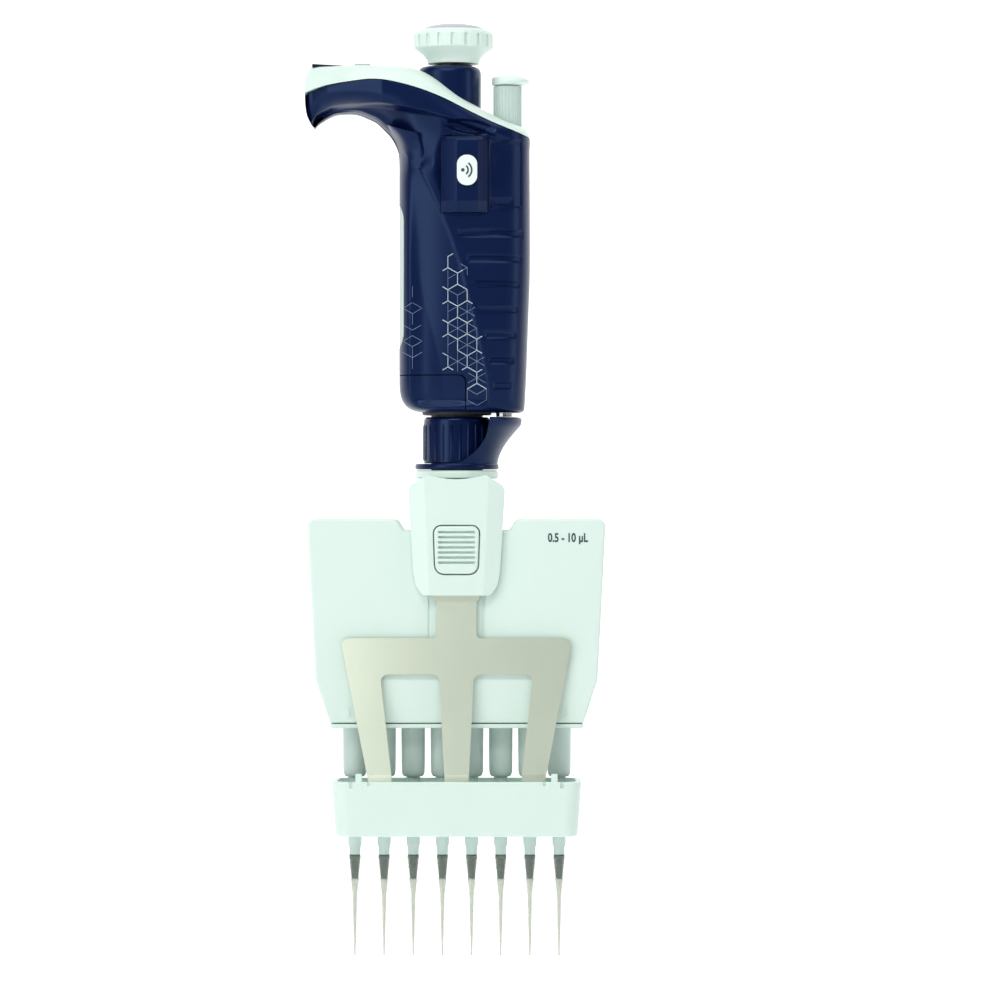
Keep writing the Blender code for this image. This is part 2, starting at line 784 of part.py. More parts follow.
def build_module():
    """Faceted wireless box that stands out of the front, and its label."""
    left, right = handle_x(MODULE_X[0]), handle_x(MODULE_X[1])
    low, high = handle_z(MODULE_Z[0]), handle_z(MODULE_Z[1])
    back = -GRIP_FRONT + 2.6

    def ring(z, stand):
        return [
            (left, back, z),
            (right, back, z),
            (right, -GRIP_FRONT - 0.6 * stand, z),
            (right - 1.4, -GRIP_FRONT - 2.0 * stand, z),
            (right - 3.0, -GRIP_FRONT - 4.0 * stand, z),
            (left + 4.8, -GRIP_FRONT - 4.0 * stand, z),
            (left + 1.8, -GRIP_FRONT - 2.2 * stand, z),
            (left, -GRIP_FRONT - 0.6 * stand, z),
        ]

    module = make(
        "wireless_module",
        *loft([ring(low, 0.45), ring(low + 3.4, 1.0), ring(high - 1.2, 1.0), ring(high, 0.6)]),
    )
    finish(module, NAVY)
    middle = (left + 4.8 + right - 3.0) / 2
    z = (low + high) / 2 + 1.1
    outline = rounded(
        [
            (middle - 3.1, z - 4.65, 2.9),
            (middle + 3.1, z - 4.65, 2.9),
            (middle + 3.1, z + 4.65, 2.9),
            (middle - 3.1, z + 4.65, 2.9),
        ],
        4,
    )
    front = -GRIP_FRONT - 4.0 - GAP
    label = make("module_label", *prism(outline, front - 0.45, front))
    finish(label, WHITE)
    put_in("handle_frame", module, label)


def build_inside_handle():
    battery = make(
        "battery",
        *box(
            (-BATTERY_WIDTH / 2, MOTOR_R + GAP, Z_BODY + 16.0),
            (BATTERY_WIDTH / 2, MOTOR_R + GAP + BATTERY_THICK, Z_BODY + 16.0 + BATTERY_LENGTH),
        ),
    )
    soften(battery, 0.8, 1)
    finish(battery, (0x3B6FA5, 0.4))
    board = make(
        "circuit_board",
        *box((-12.0, 7.6, Z_MOTOR_LOW + MOTOR_LENGTH + 2.5), (11.0, 9.2, Z_TOWER_LOW - 2.0)),
    )
    finish(board, (0x1D6B3A, 0.5))
    motor = make(
        "motor",
        *turned(
            [
                (SCREW_R + 0.5, Z_MOTOR_LOW),
                (MOTOR_R - 2.0, Z_MOTOR_LOW),
                (MOTOR_R - 2.0, Z_MOTOR_LOW + 1.2),
                (MOTOR_R, Z_MOTOR_LOW + 1.2),
                (MOTOR_R, Z_MOTOR_LOW + MOTOR_LENGTH),
                (SCREW_R + 0.5, Z_MOTOR_LOW + MOTOR_LENGTH),
            ],
            24,
        ),
    )
    finish(motor, (0x9A9C9E, 0.35, 1.0))
    bush = make(
        "nose_bush",
        *turned(
            [
                (NECK_R + RUN, Z_BUSH_LOW),
                (BUSH_R - 0.3, Z_BUSH_LOW),
                (BUSH_R, Z_BUSH_LOW + 0.3),
                (BUSH_R, Z_BODY + SHELL_WALL + 1.0),
                (NECK_R + RUN, Z_BODY + SHELL_WALL + 1.0),
            ],
            32,
        ),
    )
    finish(bush, BLACK)
    put_in("handle_frame", battery, board, motor, bush)
    screw = make(
        "drive_screw",
        *turned(
            [
                (0, Z_FOOT_LOW),
                (SCREW_FOOT_R, Z_FOOT_LOW),
                (SCREW_FOOT_R, Z_FOOT_LOW + 2.2),
                (SCREW_R, Z_FOOT_LOW + 2.8),
                (SCREW_R, Z_SCREW_TOP),
                (0, Z_SCREW_TOP),
            ],
            16,
        ),
    )
    finish(screw, (0xB8BABC, 0.25, 1.0))
    put_in("drive_slide", screw)


# ---------------------------------------------------------------- knob and tower
def coil(radius, wire, low, high, turns, x, y, around=10, sides=4):
    """A spring wire whose ends stay whole."""
    rings = []
    count = int(turns * around)
    for i in range(count + 1):
        angle = 2 * math.pi * i / around
        z = low + wire + (high - low - 2 * wire) * i / count
        ring = []
        for j in range(sides):
            a = 2 * math.pi * j / sides
            r = radius + wire * math.cos(a)
            ring.append(
                (x + r * math.cos(angle), y + r * math.sin(angle), z + wire * math.sin(a))
            )
        rings.append(ring)
    return loft(rings)


def build_knob():
    top = Z_TOWER_TOP
    rings = [
        oval(TOWER_X, 0, TOWER_HALF_X - inset, TOWER_HALF_Y - inset, z, 28, 2.2)
        for z, inset in (
            (Z_TOWER_LOW, 0.0),
            (top - 1.6, 0.0),
            (top - 0.6, 0.35),
            (top, 1.4),
        )
    ]
    tower = make("tower", *loft(rings))
    floor = Z_TOWER_LOW + 2.0
    cut(
        tower,
        turned(
            [
                (0, Z_TOWER_LOW - 2),
                (STEM_R + 0.6, Z_TOWER_LOW - 2),
                (STEM_R + 0.6, floor),
                (TOWER_BORE_R, floor),
                (TOWER_BORE_R, top - 2.0),
                (STEM_NECK_R + RUN, top - 2.0),
                (STEM_NECK_R + RUN, top + 3),
                (0, top + 3),
            ],
            24,
            KNOB_X,
        ),
    )
    finish(tower, NAVY)
    put_in("handle_frame", tower)

    flange = floor + 10.5
    z = Z_KNOB_LOW
    stem = make(
        "knob_stem",
        *turned(
            [
                (0, flange - 4.0),
                (STEM_R, flange - 4.0),
                (STEM_R, flange),
                (TOWER_BORE_R - 0.6, flange),
                (TOWER_BORE_R - 0.6, flange + 2.0),
                (STEM_R, flange + 2.0),
                (STEM_R, top - 3.6),
                (STEM_NECK_R, top - 3.6),
                (STEM_NECK_R, z - GAP),
                (STEM_R, z - GAP),
                (STEM_R, z + 6.8),
                (0, z + 6.8),
            ],
            16,
            KNOB_X,
        ),
    )
    finish(stem, BLACK)
    put_in("knob_press", stem)
    spring = make(
        "knob_spring",
        *coil(TOWER_BORE_R - 1.7, 0.45, floor + GAP, flange - GAP, 3, KNOB_X, 0),
    )
    finish(spring, (0xB8BABC, 0.3, 1.0))
    put_in("handle_frame", spring)

    def notch(index, j):
        return -0.7 if index in (4, 5) and j % 2 else 0.0

    ring = make(
        "knob_ring",
        *turned(
            [
                (STEM_R + RUN, z),
                (7.85, z),
                (8.5, z + 2.4),
                (KNOB_R - 0.5, z + 4.6),
                (KNOB_R, z + 5.2),
                (KNOB_R, z + 8.8),
                (KNOB_R - 0.7, z + 10.1),
                (KNOB_R - 2.05, z + 10.4),
                (KNOB_R - 2.05, z + 7.8),
                (STEM_R + RUN, z + 7.8),
            ],
            KNOB_NOTCHES * 2,
            KNOB_X,
            0.0,
            notch,
        ),
    )
    finish(ring, WHITE)
    dome_r = KNOB_R - 2.05 - GAP
    dome = make(
        "knob_dome",
        *turned(
            [
                (0, z + 8.1),
                (dome_r, z + 8.1),
                (dome_r, z + 10.2),
                (dome_r - 1.2, z + 11.1),
                (dome_r - 4.0, z + 12.0),
                (dome_r - 7.0, z + 12.35),
                (0, z + 12.4),
            ],
            24,
            KNOB_X,
        ),
    )
    finish(dome, (0xBDBFC6, 0.45))
    put_in("knob_turn", ring, dome)


# ---------------------------------------------------------------- ejector, upper part
def build_upper_ejector():
    z = Z_BUTTON_TOP + GAP
    x = BUTTON_X
    cap = make(
        "ejector_cap",
        *loft(
            [
                oval(x, 0, BUTTON_R + 0.4, BUTTON_R + 0.4, z, 24),
                oval(x + 0.75, 0, BUTTON_R + 1.1, BUTTON_R + 0.8, z + 0.5, 24),
                oval(x + 1.05, 0, BUTTON_R + 1.55, BUTTON_R + 1.0, z + 1.1, 24),
                oval(x + 0.9, 0, BUTTON_R + 1.4, BUTTON_R + 0.9, z + 1.5, 24),
                oval(x + 0.3, 0, BUTTON_R + 0.6, BUTTON_R + 0.5, z + 2.3, 24),
                oval(x + 0.2, 0, BUTTON_R - 0.2, BUTTON_R - 0.4, z + 2.7, 24),
            ]
        ),
    )
    finish(cap, WHITE)
    stem = make(
        "ejector_stem",
        *turned(
            [
                (0, Z_BUTTON_LOW),
                (BUTTON_R, Z_BUTTON_LOW),
                (BUTTON_R, Z_BUTTON_TOP),
                (0, Z_BUTTON_TOP),
            ],
            24,
            BUTTON_X,
        ),
    )
    finish(stem, GREY)
    shoulder = Z_BODY + 22.5
    rod = make(
        "ejector_rod",
        *turned(
            [
                (0, Z_ARM_TOP + GAP),
                (ROD_R, Z_ARM_TOP + GAP),
                (ROD_R, shoulder),
                (ROD_R + ROD_SHOULDER, shoulder),
                (ROD_R + ROD_SHOULDER, shoulder + 1.5),
                (ROD_R, shoulder + 1.5),
                (ROD_R, Z_BUTTON_LOW - GAP),
                (0, Z_BUTTON_LOW - GAP),
            ],
            16,
            ROD_X,
        ),
    )
    finish(rod, (0x9FA3A4, 0.35, 1.0))
    spring = make(
        "ejector_spring",
        *coil(
            ROD_R + 0.85,
            0.35,
            Z_BODY + SHELL_WALL + GAP,
            shoulder - GAP,
            5,
            ROD_X,
            0,
            8,
            4,
        ),
    )
    finish(spring, (0xB8BABC, 0.3, 1.0))
    put_in("handle_frame", spring)

    low, high, ring_top = Z_RING_LOW, Z_ARM_TOP, Z_RING_TOP
    reach = ARM_TOP_R - ARM_RING_R
    inner = NUT_R + 0.8
    outside = [
        (ARM_RING_R - 0.3, low),
        (ARM_RING_R, low + 0.3),
        (ARM_RING_R + 0.07 * reach, low + 3.8),
        (ARM_RING_R + 0.14 * reach, low + 5.7),
        (ARM_RING_R + 0.34 * reach, low + 8.2),
        (ARM_RING_R + 0.65 * reach, low + 11.0),
        (ARM_RING_R + 0.93 * reach, low + 13.4),
        (ARM_TOP_R, high - 0.4),
        (ARM_TOP_R - 0.4, high),
    ]
    inside = [
        (inner, high),
        (inner, high - 1.7),
        (ARM_TOP_R - 2.6, high - 1.7),
        (ARM_RING_R + 0.60 * reach - 1.4, low + 12.3),
        (ARM_RING_R + 0.30 * reach - 1.4, low + 9.3),
        (ARM_RING_R + 0.08 * reach - 1.4, low + 6.0),
        (inner, ring_top),
        (NECK_R + 0.7, ring_top),
        (NECK_R + 0.7, low),
    ]
    arm = make("ejector_arm", *turned(outside + inside, 28))
    sweep = [
        (ROD_X - 4.3, high + 1.0),
        (ROD_X - 5.1, high - 4.0),
        (ROD_X - 6.2, high - 7.0),
        (ROD_X - 8.4, high - 10.0),
        (ROD_X - 11.7, high - 12.7),
        (0.2, ring_top + 0.4),
        (-2.6, ring_top + 0.1),
        (-40.0, ring_top + 0.1),
        (-40.0, high + 6.0),
        (ROD_X - 4.3, high + 6.0),
    ]
    cut(arm, prism(sweep, -40, 40))
    finish(arm, NAVY)
    put_in("ejector_press", cap, stem, rod, arm)


# ---------------------------------------------------------------- neck
def build_neck():
    def rib(index, j):
        return -0.5 if index in (1, 2, 3) and j % 2 else 0.0

    nut = make(
        "coupling_nut",
        *turned(
            [
                (NECK_R + RUN, Z_NUT_LOW),
                (NUT_R, Z_NUT_LOW),
                (NUT_R, Z_NUT_LOW + 3),
                (NUT_R, Z_NUT_TOP - 0.8),
                (NUT_R - 0.7, Z_NUT_TOP),
                (NECK_R + RUN, Z_NUT_TOP),
            ],
            NUT_RIBS * 2,
            0.0,
            0.0,
            rib,
        ),
    )
    finish(nut, NAVY)
    put_in("nut_turn", nut)
    bore = NECK_R - NECK_WALL
    ledge = Z_BOSS - HOUSING_WALL - GAP
    flange_r = NECK_R + NECK_FLANGE
    tube = make(
        "neck_tube",
        *turned(
            [
                (bore, Z_NECK_LOW),
                (NECK_R, Z_NECK_LOW),
                (NECK_R, ledge - 2.0),
                (flange_r, ledge - 2.0),
                (flange_r, ledge),
                (NECK_R, ledge),
                (NECK_R, Z_NECK_TOP),
                (bore, Z_NECK_TOP),
            ],
            24,
        ),
    )
    finish(tube, GREY)
    put_in("manifold_turn", tube)
    collar = make(
        "collar",
        *turned(
            [
                (NECK_R + 0.6, Z_COLLAR_LOW),
                (COLLAR_R - 0.4, Z_COLLAR_LOW),
                (COLLAR_R, Z_COLLAR_LOW + 0.4),
                (COLLAR_R, Z_COLLAR_TOP - 0.5),
                (COLLAR_R - 0.5, Z_COLLAR_TOP),
                (NECK_R + 0.6, Z_COLLAR_TOP),
            ],
            32,
        ),
    )
    finish(collar, WHITE)
    put_in("lower_eject", collar)


# ---------------------------------------------------------------- ejector, lower part
def build_hood():
    low, top, mid = Z_HOOD_LOW, Z_HOOD_TOP, Z_HOUSING_TOP
    half = HOOD_HALF
    right = [
        (half - 4.4, low, 1.6),
        (half - 2.3, low + 3.0, 1.2),
        (half - 1.5, low + 7.5, 0),
        (half - 0.7, mid - 2.8, 0),
        (half, mid + 8.9, 0.8),
        (half - 0.6, mid + 10.3, 0.8),
        (half - 5.8, top + 1.3, 0),
    ]
    outline = rounded(mirrored(right) + [], 2)
    # the front edge of the top dips in the middle between its two peaks
    peak = next(i for i, p in enumerate(outline) if p[0] < 0)
    outline.insert(peak, (0.0, top))
    rear = BOSS_HALF_Y + BOSS_CLEAR + HOOD_WALL
    hood = make("ejector_hood", *prism(outline, HOOD_FRONT, rear))
    soften(hood, 0.7, 2)
    cut(hood, box((-40, HOOD_BACK_FACE, low - 10), (40, 40, Z_HOOD_SKIRT)))
    peaks = min(HOOD_BACK_FACE, -(COLLAR_R + 2 * GAP))
    cut(hood, box((-40, peaks, top), (40, 40, top + 10)))
    inside_x, inside_y = BOSS_HALF_X + BOSS_CLEAR, BOSS_HALF_Y + BOSS_CLEAR
    cut(
        hood,
        box(
            (-inside_x, -inside_y, Z_HOOD_SKIRT - 20),
            (inside_x, inside_y, top - HOOD_WALL),
        ),
    )
    cut(hood, turned([(0, low), (NECK_R + 0.6, low), (NECK_R + 0.6, top + 5), (0, top + 5)], 24))
    # pocket for the latch button
    cut(hood, prism(latch_outline(0.45), HOOD_FRONT - 5, HOOD_FRONT + 2.6))
    # slot for the head of the fork
    slot = FORK_STEM_HALF + 0.9 + GAP
    cut(hood, box((-slot, FORK_FRONT - GAP, low - 5), (slot, 5, low + 4.9)))
    finish(hood, WHITE)

    latch = make("latch_button", *prism(latch_outline(0.0), HOOD_FRONT - 0.6, HOOD_FRONT + 1.5))
    soften(latch, 0.4, 2)
    for i in range(7):
        z = latch_low() + 3.5 + 1.55 * i
        cut(latch, box((-5.6, HOOD_FRONT - 3, z), (5.6, HOOD_FRONT - 0.1, z + 0.74)))
    finish(latch, WHITE)
    put_in("lower_eject", hood)
    put_in("latch_push", latch)


def latch_low():
    return Z_HOOD_LOW + 6.2


def latch_outline(grow):
    low = latch_low() - grow
    high = latch_low() + LATCH_HEIGHT + grow
    top, foot = LATCH_HALF_TOP + grow, LATCH_HALF_LOW + grow
    return rounded([(-foot, low, 2.8), (foot, low, 2.8), (top, high, 1.8), (-top, high, 1.8)], 3)


def fork_outline():
    s = STRETCH
    bar_top = Z_HOOD_LOW - 13.1
    bar_low = bar_top - FORK_BAR_HEIGHT
    crotch = bar_low - 1.4
    foot = Z_COMB_LOW + COMB_FLOOR + 2.0
    head = Z_HOOD_LOW + 4.6
    stem = FORK_STEM_HALF
    right = [
        (3.2, foot, 0),
        (3.7, Z_COMB_TOP, 0),
        (5.3, crotch, 1.5),
        (23.4 * s, crotch, 1.5),
        (19.7 * s, Z_COMB_TOP, 0),
        (19.2 * s, foot, 0),
        (25.8 * s, foot, 0),
        (27.0 * s, Z_COMB_TOP, 0),
        (35.1 * s, bar_top - 2.6, 0),
        (35.1 * s, bar_top, 2.0),
        (stem, bar_top, 1.0),
        (stem, Z_HOOD_LOW - 1.5, 0.4),
        (stem + 0.9, Z_HOOD_LOW - 1.5, 0.4),
        (stem + 0.9, head, 0),
    ]
    return rounded(mirrored(right), 2)


def build_comb():
    fork = make("steel_fork", *prism(fork_outline(), FORK_FRONT, FORK_BACK))
    finish(fork, STEEL)
    top_half = SPAN / 2 + 6.7
    low_half = SPAN / 2 + 5.7

    def ring(z, half, inset=0.0, corner=5.0):
        x, front, rear = half - inset, COMB_FRONT + inset, COMB_REAR - inset
        radius = max(corner - inset, 0.6)
        outline = rounded(
            [(-x, front, radius), (x, front, radius), (x, rear, radius), (-x, rear, radius)], 4
        )
        return [(a, b, z) for a, b in outline]

    comb = make(
        "ejector_comb",
        *loft(
            [
                ring(Z_COMB_LOW, low_half, 0.6),
                ring(Z_COMB_LOW + 0.6, low_half),
                ring(Z_COMB_TOP - 0.5, top_half),
                ring(Z_COMB_TOP, top_half, 0.5),
            ]
        ),
    )
    cut(
        comb,
        loft(
            [
                ring(Z_COMB_LOW + COMB_FLOOR, low_half, COMB_WALL),
                ring(Z_COMB_TOP + 2, top_half, COMB_WALL),
            ]
        ),
    )
    for x in channel_places():
        hole = NOZZLE_R + 0.4
        cut(
            comb,
            turned(
                [(0, Z_COMB_LOW - 3), (hole, Z_COMB_LOW - 3), (hole, Z_COMB_LOW + 6),
                 (0, Z_COMB_LOW + 6)],
                12,
                x,
            ),
        )
    for side in (-1, 1):
        near, far = sorted((side * 28.8 * STRETCH, side * 31.0 * STRETCH))
        join(
            comb,
            box(
                (near, COMB_FRONT + 0.35, Z_COMB_TOP - 6),
                (far, COMB_FRONT + 1.45, Z_COMB_TOP + 2.5),
            ),
        )
    finish(comb, WHITE)
    put_in("lower_eject", fork, comb)


# ---------------------------------------------------------------- manifold
def channel_places():
    return [PITCH * (i - (CHANNELS - 1) / 2) for i in range(CHANNELS)]


def housing_depth(z):
    """Half depth of the housing, drawn in towards its foot."""
    low, knee = Z_HOUSING_LOW, Z_HOUSING_LOW + 13.3
    middle = HOUSING_HALF_DEPTH - 0.5
    if z < knee:
        t = (z - low) / (knee - low)
        return HOUSING_LOW_DEPTH + (middle - HOUSING_LOW_DEPTH) * max(t, 0.0)
    t = (z - knee) / (Z_HOUSING_TOP - knee)
    return middle + 0.5 * min(t, 1.0)


def housing_outline(inset, drop=0.0):
    """The housing's front outline; the hollow's is the same moved inwards and open below."""
    s = SPAN / 2
    knee = Z_HOUSING_LOW + 13.3
    right = [
        (s + 7.4 - inset, Z_HOUSING_LOW - drop, 0 if drop else 0.8),
        (s + 11.7 - inset, knee, 0),
        (s + 14.2 - inset, Z_HOUSING_TOP - inset, 1.6),
        (18.3 + inset, Z_HOUSING_TOP - inset, 1.6),
        (16.3 + inset, Z_SHELF - inset, 1.2),
    ]
    return rounded(mirrored(right), 3 if not drop else 1)


def shape_depth(obj):
    """Draws the housing's depth in towards its foot, in faces that stay flat."""
    work = bmesh.new()
    work.from_mesh(obj.data)
    for level in (Z_HOUSING_LOW, Z_HOUSING_LOW + 13.3):
        bmesh.ops.bisect_plane(
            work,
            geom=[*work.verts, *work.edges, *work.faces],
            dist=1e-7,
            plane_co=(0, 0, level * MM),
            plane_no=(0, 0, 1),
        )
    work.to_mesh(obj.data)
    work.free()
    for vertex in obj.data.vertices:
        z = vertex.co.z / MM
        vertex.co.y *= housing_depth(z) / HOUSING_HALF_DEPTH


def build_manifold():
    depth = HOUSING_HALF_DEPTH
    whole = make("housing", *prism(housing_outline(0.0), -depth, depth))
    soften(whole, 1.3, 2)
    shape_depth(whole)
    boss = rounded(
        [
            (-BOSS_HALF_X, -BOSS_HALF_Y, 4),
            (BOSS_HALF_X, -BOSS_HALF_Y, 4),
            (BOSS_HALF_X, BOSS_HALF_Y, 4),
            (-BOSS_HALF_X, BOSS_HALF_Y, 4),
        ],
        3,
    )
    join(whole, prism(boss, Z_SHELF - 1.2, Z_BOSS, "Z"))
    hollow = make(
        "hollow",
        *prism(housing_outline(HOUSING_WALL, 6.0), HOUSING_WALL - depth, depth - HOUSING_WALL),
    )
    shape_depth(hollow)
    boolean(whole, hollow, "DIFFERENCE")
    w = HOUSING_WALL
    inner = rounded(
        [
            (w - BOSS_HALF_X, w - BOSS_HALF_Y, 3),
            (BOSS_HALF_X - w, w - BOSS_HALF_Y, 3),
            (BOSS_HALF_X - w, BOSS_HALF_Y - w, 3),
            (w - BOSS_HALF_X, BOSS_HALF_Y - w, 3),
        ],
        2,
    )
    cut(whole, prism(inner, Z_SHELF - 8, Z_BOSS - w, "Z"))
    hole = NECK_R + GAP
    cut(whole, turned([(0, Z_SHELF), (hole, Z_SHELF), (hole, Z_BOSS + 3), (0, Z_BOSS + 3)], 24))
    front = copy_of(whole, "manifold_front")
    keep_inside(front, box((-90, -60, 0), (90, -GAP / 2, 300)))
    rear = copy_of(whole, "manifold_rear")
    keep_inside(rear, box((-90, GAP / 2, 0), (90, 60, 300)))
    bpy.data.objects.remove(whole, do_unlink=True)
    finish(front, WHITE)
    finish(rear, WHITE)

    half = SPAN / 2 + 7.4
    rim = HOUSING_LOW_DEPTH
    outline = rounded(
        [(-half, -rim, 2.0), (half, -rim, 2.0), (half, rim, 2.0), (-half, rim, 2.0)], 2
    )
    base = make("manifold_base", *prism(outline, Z_BASE_LOW, Z_BASE_TOP, "Z"))
    for x in channel_places():
        r = BARREL_R + GAP
        cut(
            base,
            turned(
                [(0, Z_BASE_LOW - 3), (r, Z_BASE_LOW - 3), (r, Z_BASE_TOP + 3), (0, Z_BASE_TOP + 3)],
                CHANNEL_SIDES,
                x,
            ),
        )
    finish(base, WHITE)

    reach = SPAN / 2 + 3.4
    plate_outline = rounded(
        [(-reach, -4.6, 2.0), (reach, -4.6, 2.0), (reach, 4.6, 2.0), (-reach, 4.6, 2.0)], 2
    )
    plate = make("piston_plate", *prism(plate_outline, Z_PLATE_LOW, Z_PLATE_TOP, "Z"))
    top = Z_FOOT_LOW - GAP
    join(plate, turned([(0, Z_PLATE_LOW + 1), (SCREW_FOOT_R, Z_PLATE_LOW + 1),
                        (SCREW_FOOT_R, top), (0, top)], 16))
    finish(plate, (0xB9BDBF, 0.35, 1.0))
    put_in("manifold_turn", front, rear, base)
    put_in("piston_slide", plate)


def build_channels():
    flange = Z_BASE_TOP + GAP
    bore = PISTON_R + PISTON_RUN
    for number, x in enumerate(channel_places(), 1):
        nozzle = make(
            f"nozzle_{number}",
            *turned(
                [
                    (bore, Z_NOZZLE_TOP),
                    (BARREL_R - 1.0, Z_NOZZLE_TOP),
                    (BARREL_R - 1.0, flange + 1.6),
                    (BARREL_R + NOZZLE_FLANGE, flange + 1.6),
                    (BARREL_R + NOZZLE_FLANGE, flange),
                    (BARREL_R, flange),
                    (BARREL_R - 0.15, Z_BARREL_LOW + BARREL_FOOT),
                    (BARREL_R - 0.7, Z_BARREL_LOW),
                    (NOZZLE_R, Z_BARREL_LOW),
                    (NOZZLE_R, Z_TIP_TOP + 3.0),
                    (CONE_TOP_R, Z_TIP_TOP + GAP),
                    (CONE_END_R, Z_TIP_TOP - CONE_LENGTH),
                    (ORIFICE_R, Z_TIP_TOP - CONE_LENGTH),
                    (ORIFICE_R, Z_TIP_TOP + 4.0),
                    (bore, Z_TIP_TOP + 5.0),
                ],
                CHANNEL_SIDES,
                x,
            ),
        )
        finish(nozzle, GREY)
        put_in("manifold_turn", nozzle)
        piston_low = Z_BARREL_LOW + PISTON_TRAVEL - 7.0
        piston = make(
            f"piston_{number}",
            *turned(
                [
                    (0, piston_low),
                    (PISTON_R, piston_low),
                    (PISTON_R, Z_HEAD_TOP - 1.8),
                    (PISTON_HEAD_R, Z_HEAD_TOP - 1.8),
                    (PISTON_HEAD_R, Z_HEAD_TOP),
                    (0, Z_HEAD_TOP),
                ],
                CHANNEL_SIDES,
                x,
            ),
        )
        finish(piston, (0xC9CCCE, 0.2, 1.0))
        put_in("piston_slide", piston)
        collar_low = Z_TIP_TOP - TIP_COLLAR_LENGTH
        cone_low = Z_TIP_TOP - CONE_LENGTH
        mouth = CONE_TOP_R + GAP
        seat = CONE_END_R + 0.25
        tip = make(
            f"tip_{number}",
            *turned(
                [
                    (mouth, Z_TIP_TOP),
                    (TIP_COLLAR_R, Z_TIP_TOP),
                    (TIP_COLLAR_R, collar_low),
                    (TIP_COLLAR_R - 0.75, collar_low - 0.5),
                    (seat + TIP_WALL * 0.6, cone_low - 0.6),
                    (0.84, TIP_LENGTH * 0.61),
                    (0.62, TIP_LENGTH * 0.34),
                    (TIP_END_R, 0.0),
                    (TIP_END_R / 2, 0.0),
                    (0.5, TIP_LENGTH * 0.61),
                    (seat, cone_low - 0.2),
                ],
                CHANNEL_SIDES,
                x,
            ),
        )
        finish(tip, (0xD3D8C8, 0.25, 0.0, 0.55))
        put_in("tip_pull", tip)


def main():
    clear_scene()
    add_bodies()
    build_handle()
    build_display()
    build_module()
    build_inside_handle()
    build_knob()
    build_upper_ejector()
    build_neck()
    build_hood()
    build_comb()
    build_manifold()
    build_channels()
    bpy.context.view_layer.update()


main()
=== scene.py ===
import math

import bmesh
import bpy
import numpy as np
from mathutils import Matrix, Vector
from mathutils.bvhtree import BVHTree


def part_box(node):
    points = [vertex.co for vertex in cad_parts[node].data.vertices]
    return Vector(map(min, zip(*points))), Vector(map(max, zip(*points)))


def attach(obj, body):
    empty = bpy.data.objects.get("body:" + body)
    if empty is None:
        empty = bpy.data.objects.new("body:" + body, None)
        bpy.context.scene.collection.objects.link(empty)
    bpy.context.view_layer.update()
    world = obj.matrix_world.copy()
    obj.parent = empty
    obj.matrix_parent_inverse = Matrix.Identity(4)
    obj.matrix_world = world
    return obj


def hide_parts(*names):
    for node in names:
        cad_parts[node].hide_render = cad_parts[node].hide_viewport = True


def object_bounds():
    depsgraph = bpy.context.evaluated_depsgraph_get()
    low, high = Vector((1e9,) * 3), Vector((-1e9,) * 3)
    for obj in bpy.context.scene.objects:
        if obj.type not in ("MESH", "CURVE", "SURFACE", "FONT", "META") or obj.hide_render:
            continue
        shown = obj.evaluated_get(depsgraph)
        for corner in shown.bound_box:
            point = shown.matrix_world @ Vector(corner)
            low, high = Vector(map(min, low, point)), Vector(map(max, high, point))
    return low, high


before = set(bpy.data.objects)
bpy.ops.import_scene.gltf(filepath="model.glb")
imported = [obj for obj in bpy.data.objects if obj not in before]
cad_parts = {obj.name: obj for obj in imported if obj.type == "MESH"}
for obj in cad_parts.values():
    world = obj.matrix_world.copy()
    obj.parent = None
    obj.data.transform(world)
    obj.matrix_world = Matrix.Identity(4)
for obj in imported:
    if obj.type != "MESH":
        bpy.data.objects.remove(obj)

CAD_BOX = [list(corner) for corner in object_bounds()]
MM = 0.001


# ---- camera, stage and light
def new_object(name, data):
    """An object with this data, linked into the scene."""
    obj = bpy.data.objects.new(name, data)
    bpy.context.scene.collection.objects.link(obj)
    return obj


LENS = bpy.data.cameras.new("front_camera")
LENS.type = "PERSP"
LENS.sensor_width = 36.0
LENS.lens = 174.9
LENS.clip_start, LENS.clip_end = 0.05, 30.0
CAMERA = new_object("front_camera", LENS)
CAMERA.location = (0.01328, -1.5, 0.14066)
CAMERA.rotation_euler = (math.pi / 2, 0.0, 0.0)
bpy.context.scene.camera = CAMERA
bpy.context.scene.view_settings.view_transform = "Standard"


def linear(code, alpha=1.0):
    """An sRGB hex colour as the linear values a shader takes."""
    out = []
    for shift in (16, 8, 0):
        c = ((code >> shift) & 255) / 255
        out.append(c / 12.92 if c <= 0.04045 else ((c + 0.055) / 1.055) ** 2.4)
    return (*out, alpha)


def add(tree, kind, values=None, **settings):
    """Adds a node with its settings; a value is a number for a socket or a socket to link from."""
    made = tree.nodes.new(kind)
    for name, value in settings.items():
        setattr(made, name, value)
    for key, value in (values or {}).items():
        if isinstance(value, bpy.types.NodeSocket):
            tree.links.new(value, made.inputs[key])
        else:
            made.inputs[key].default_value = value
    return made


def blank(name):
    """A new material with an empty tree."""
    found = bpy.data.materials.new(name)
    found.use_nodes = True
    found.node_tree.nodes.clear()
    return found, found.node_tree


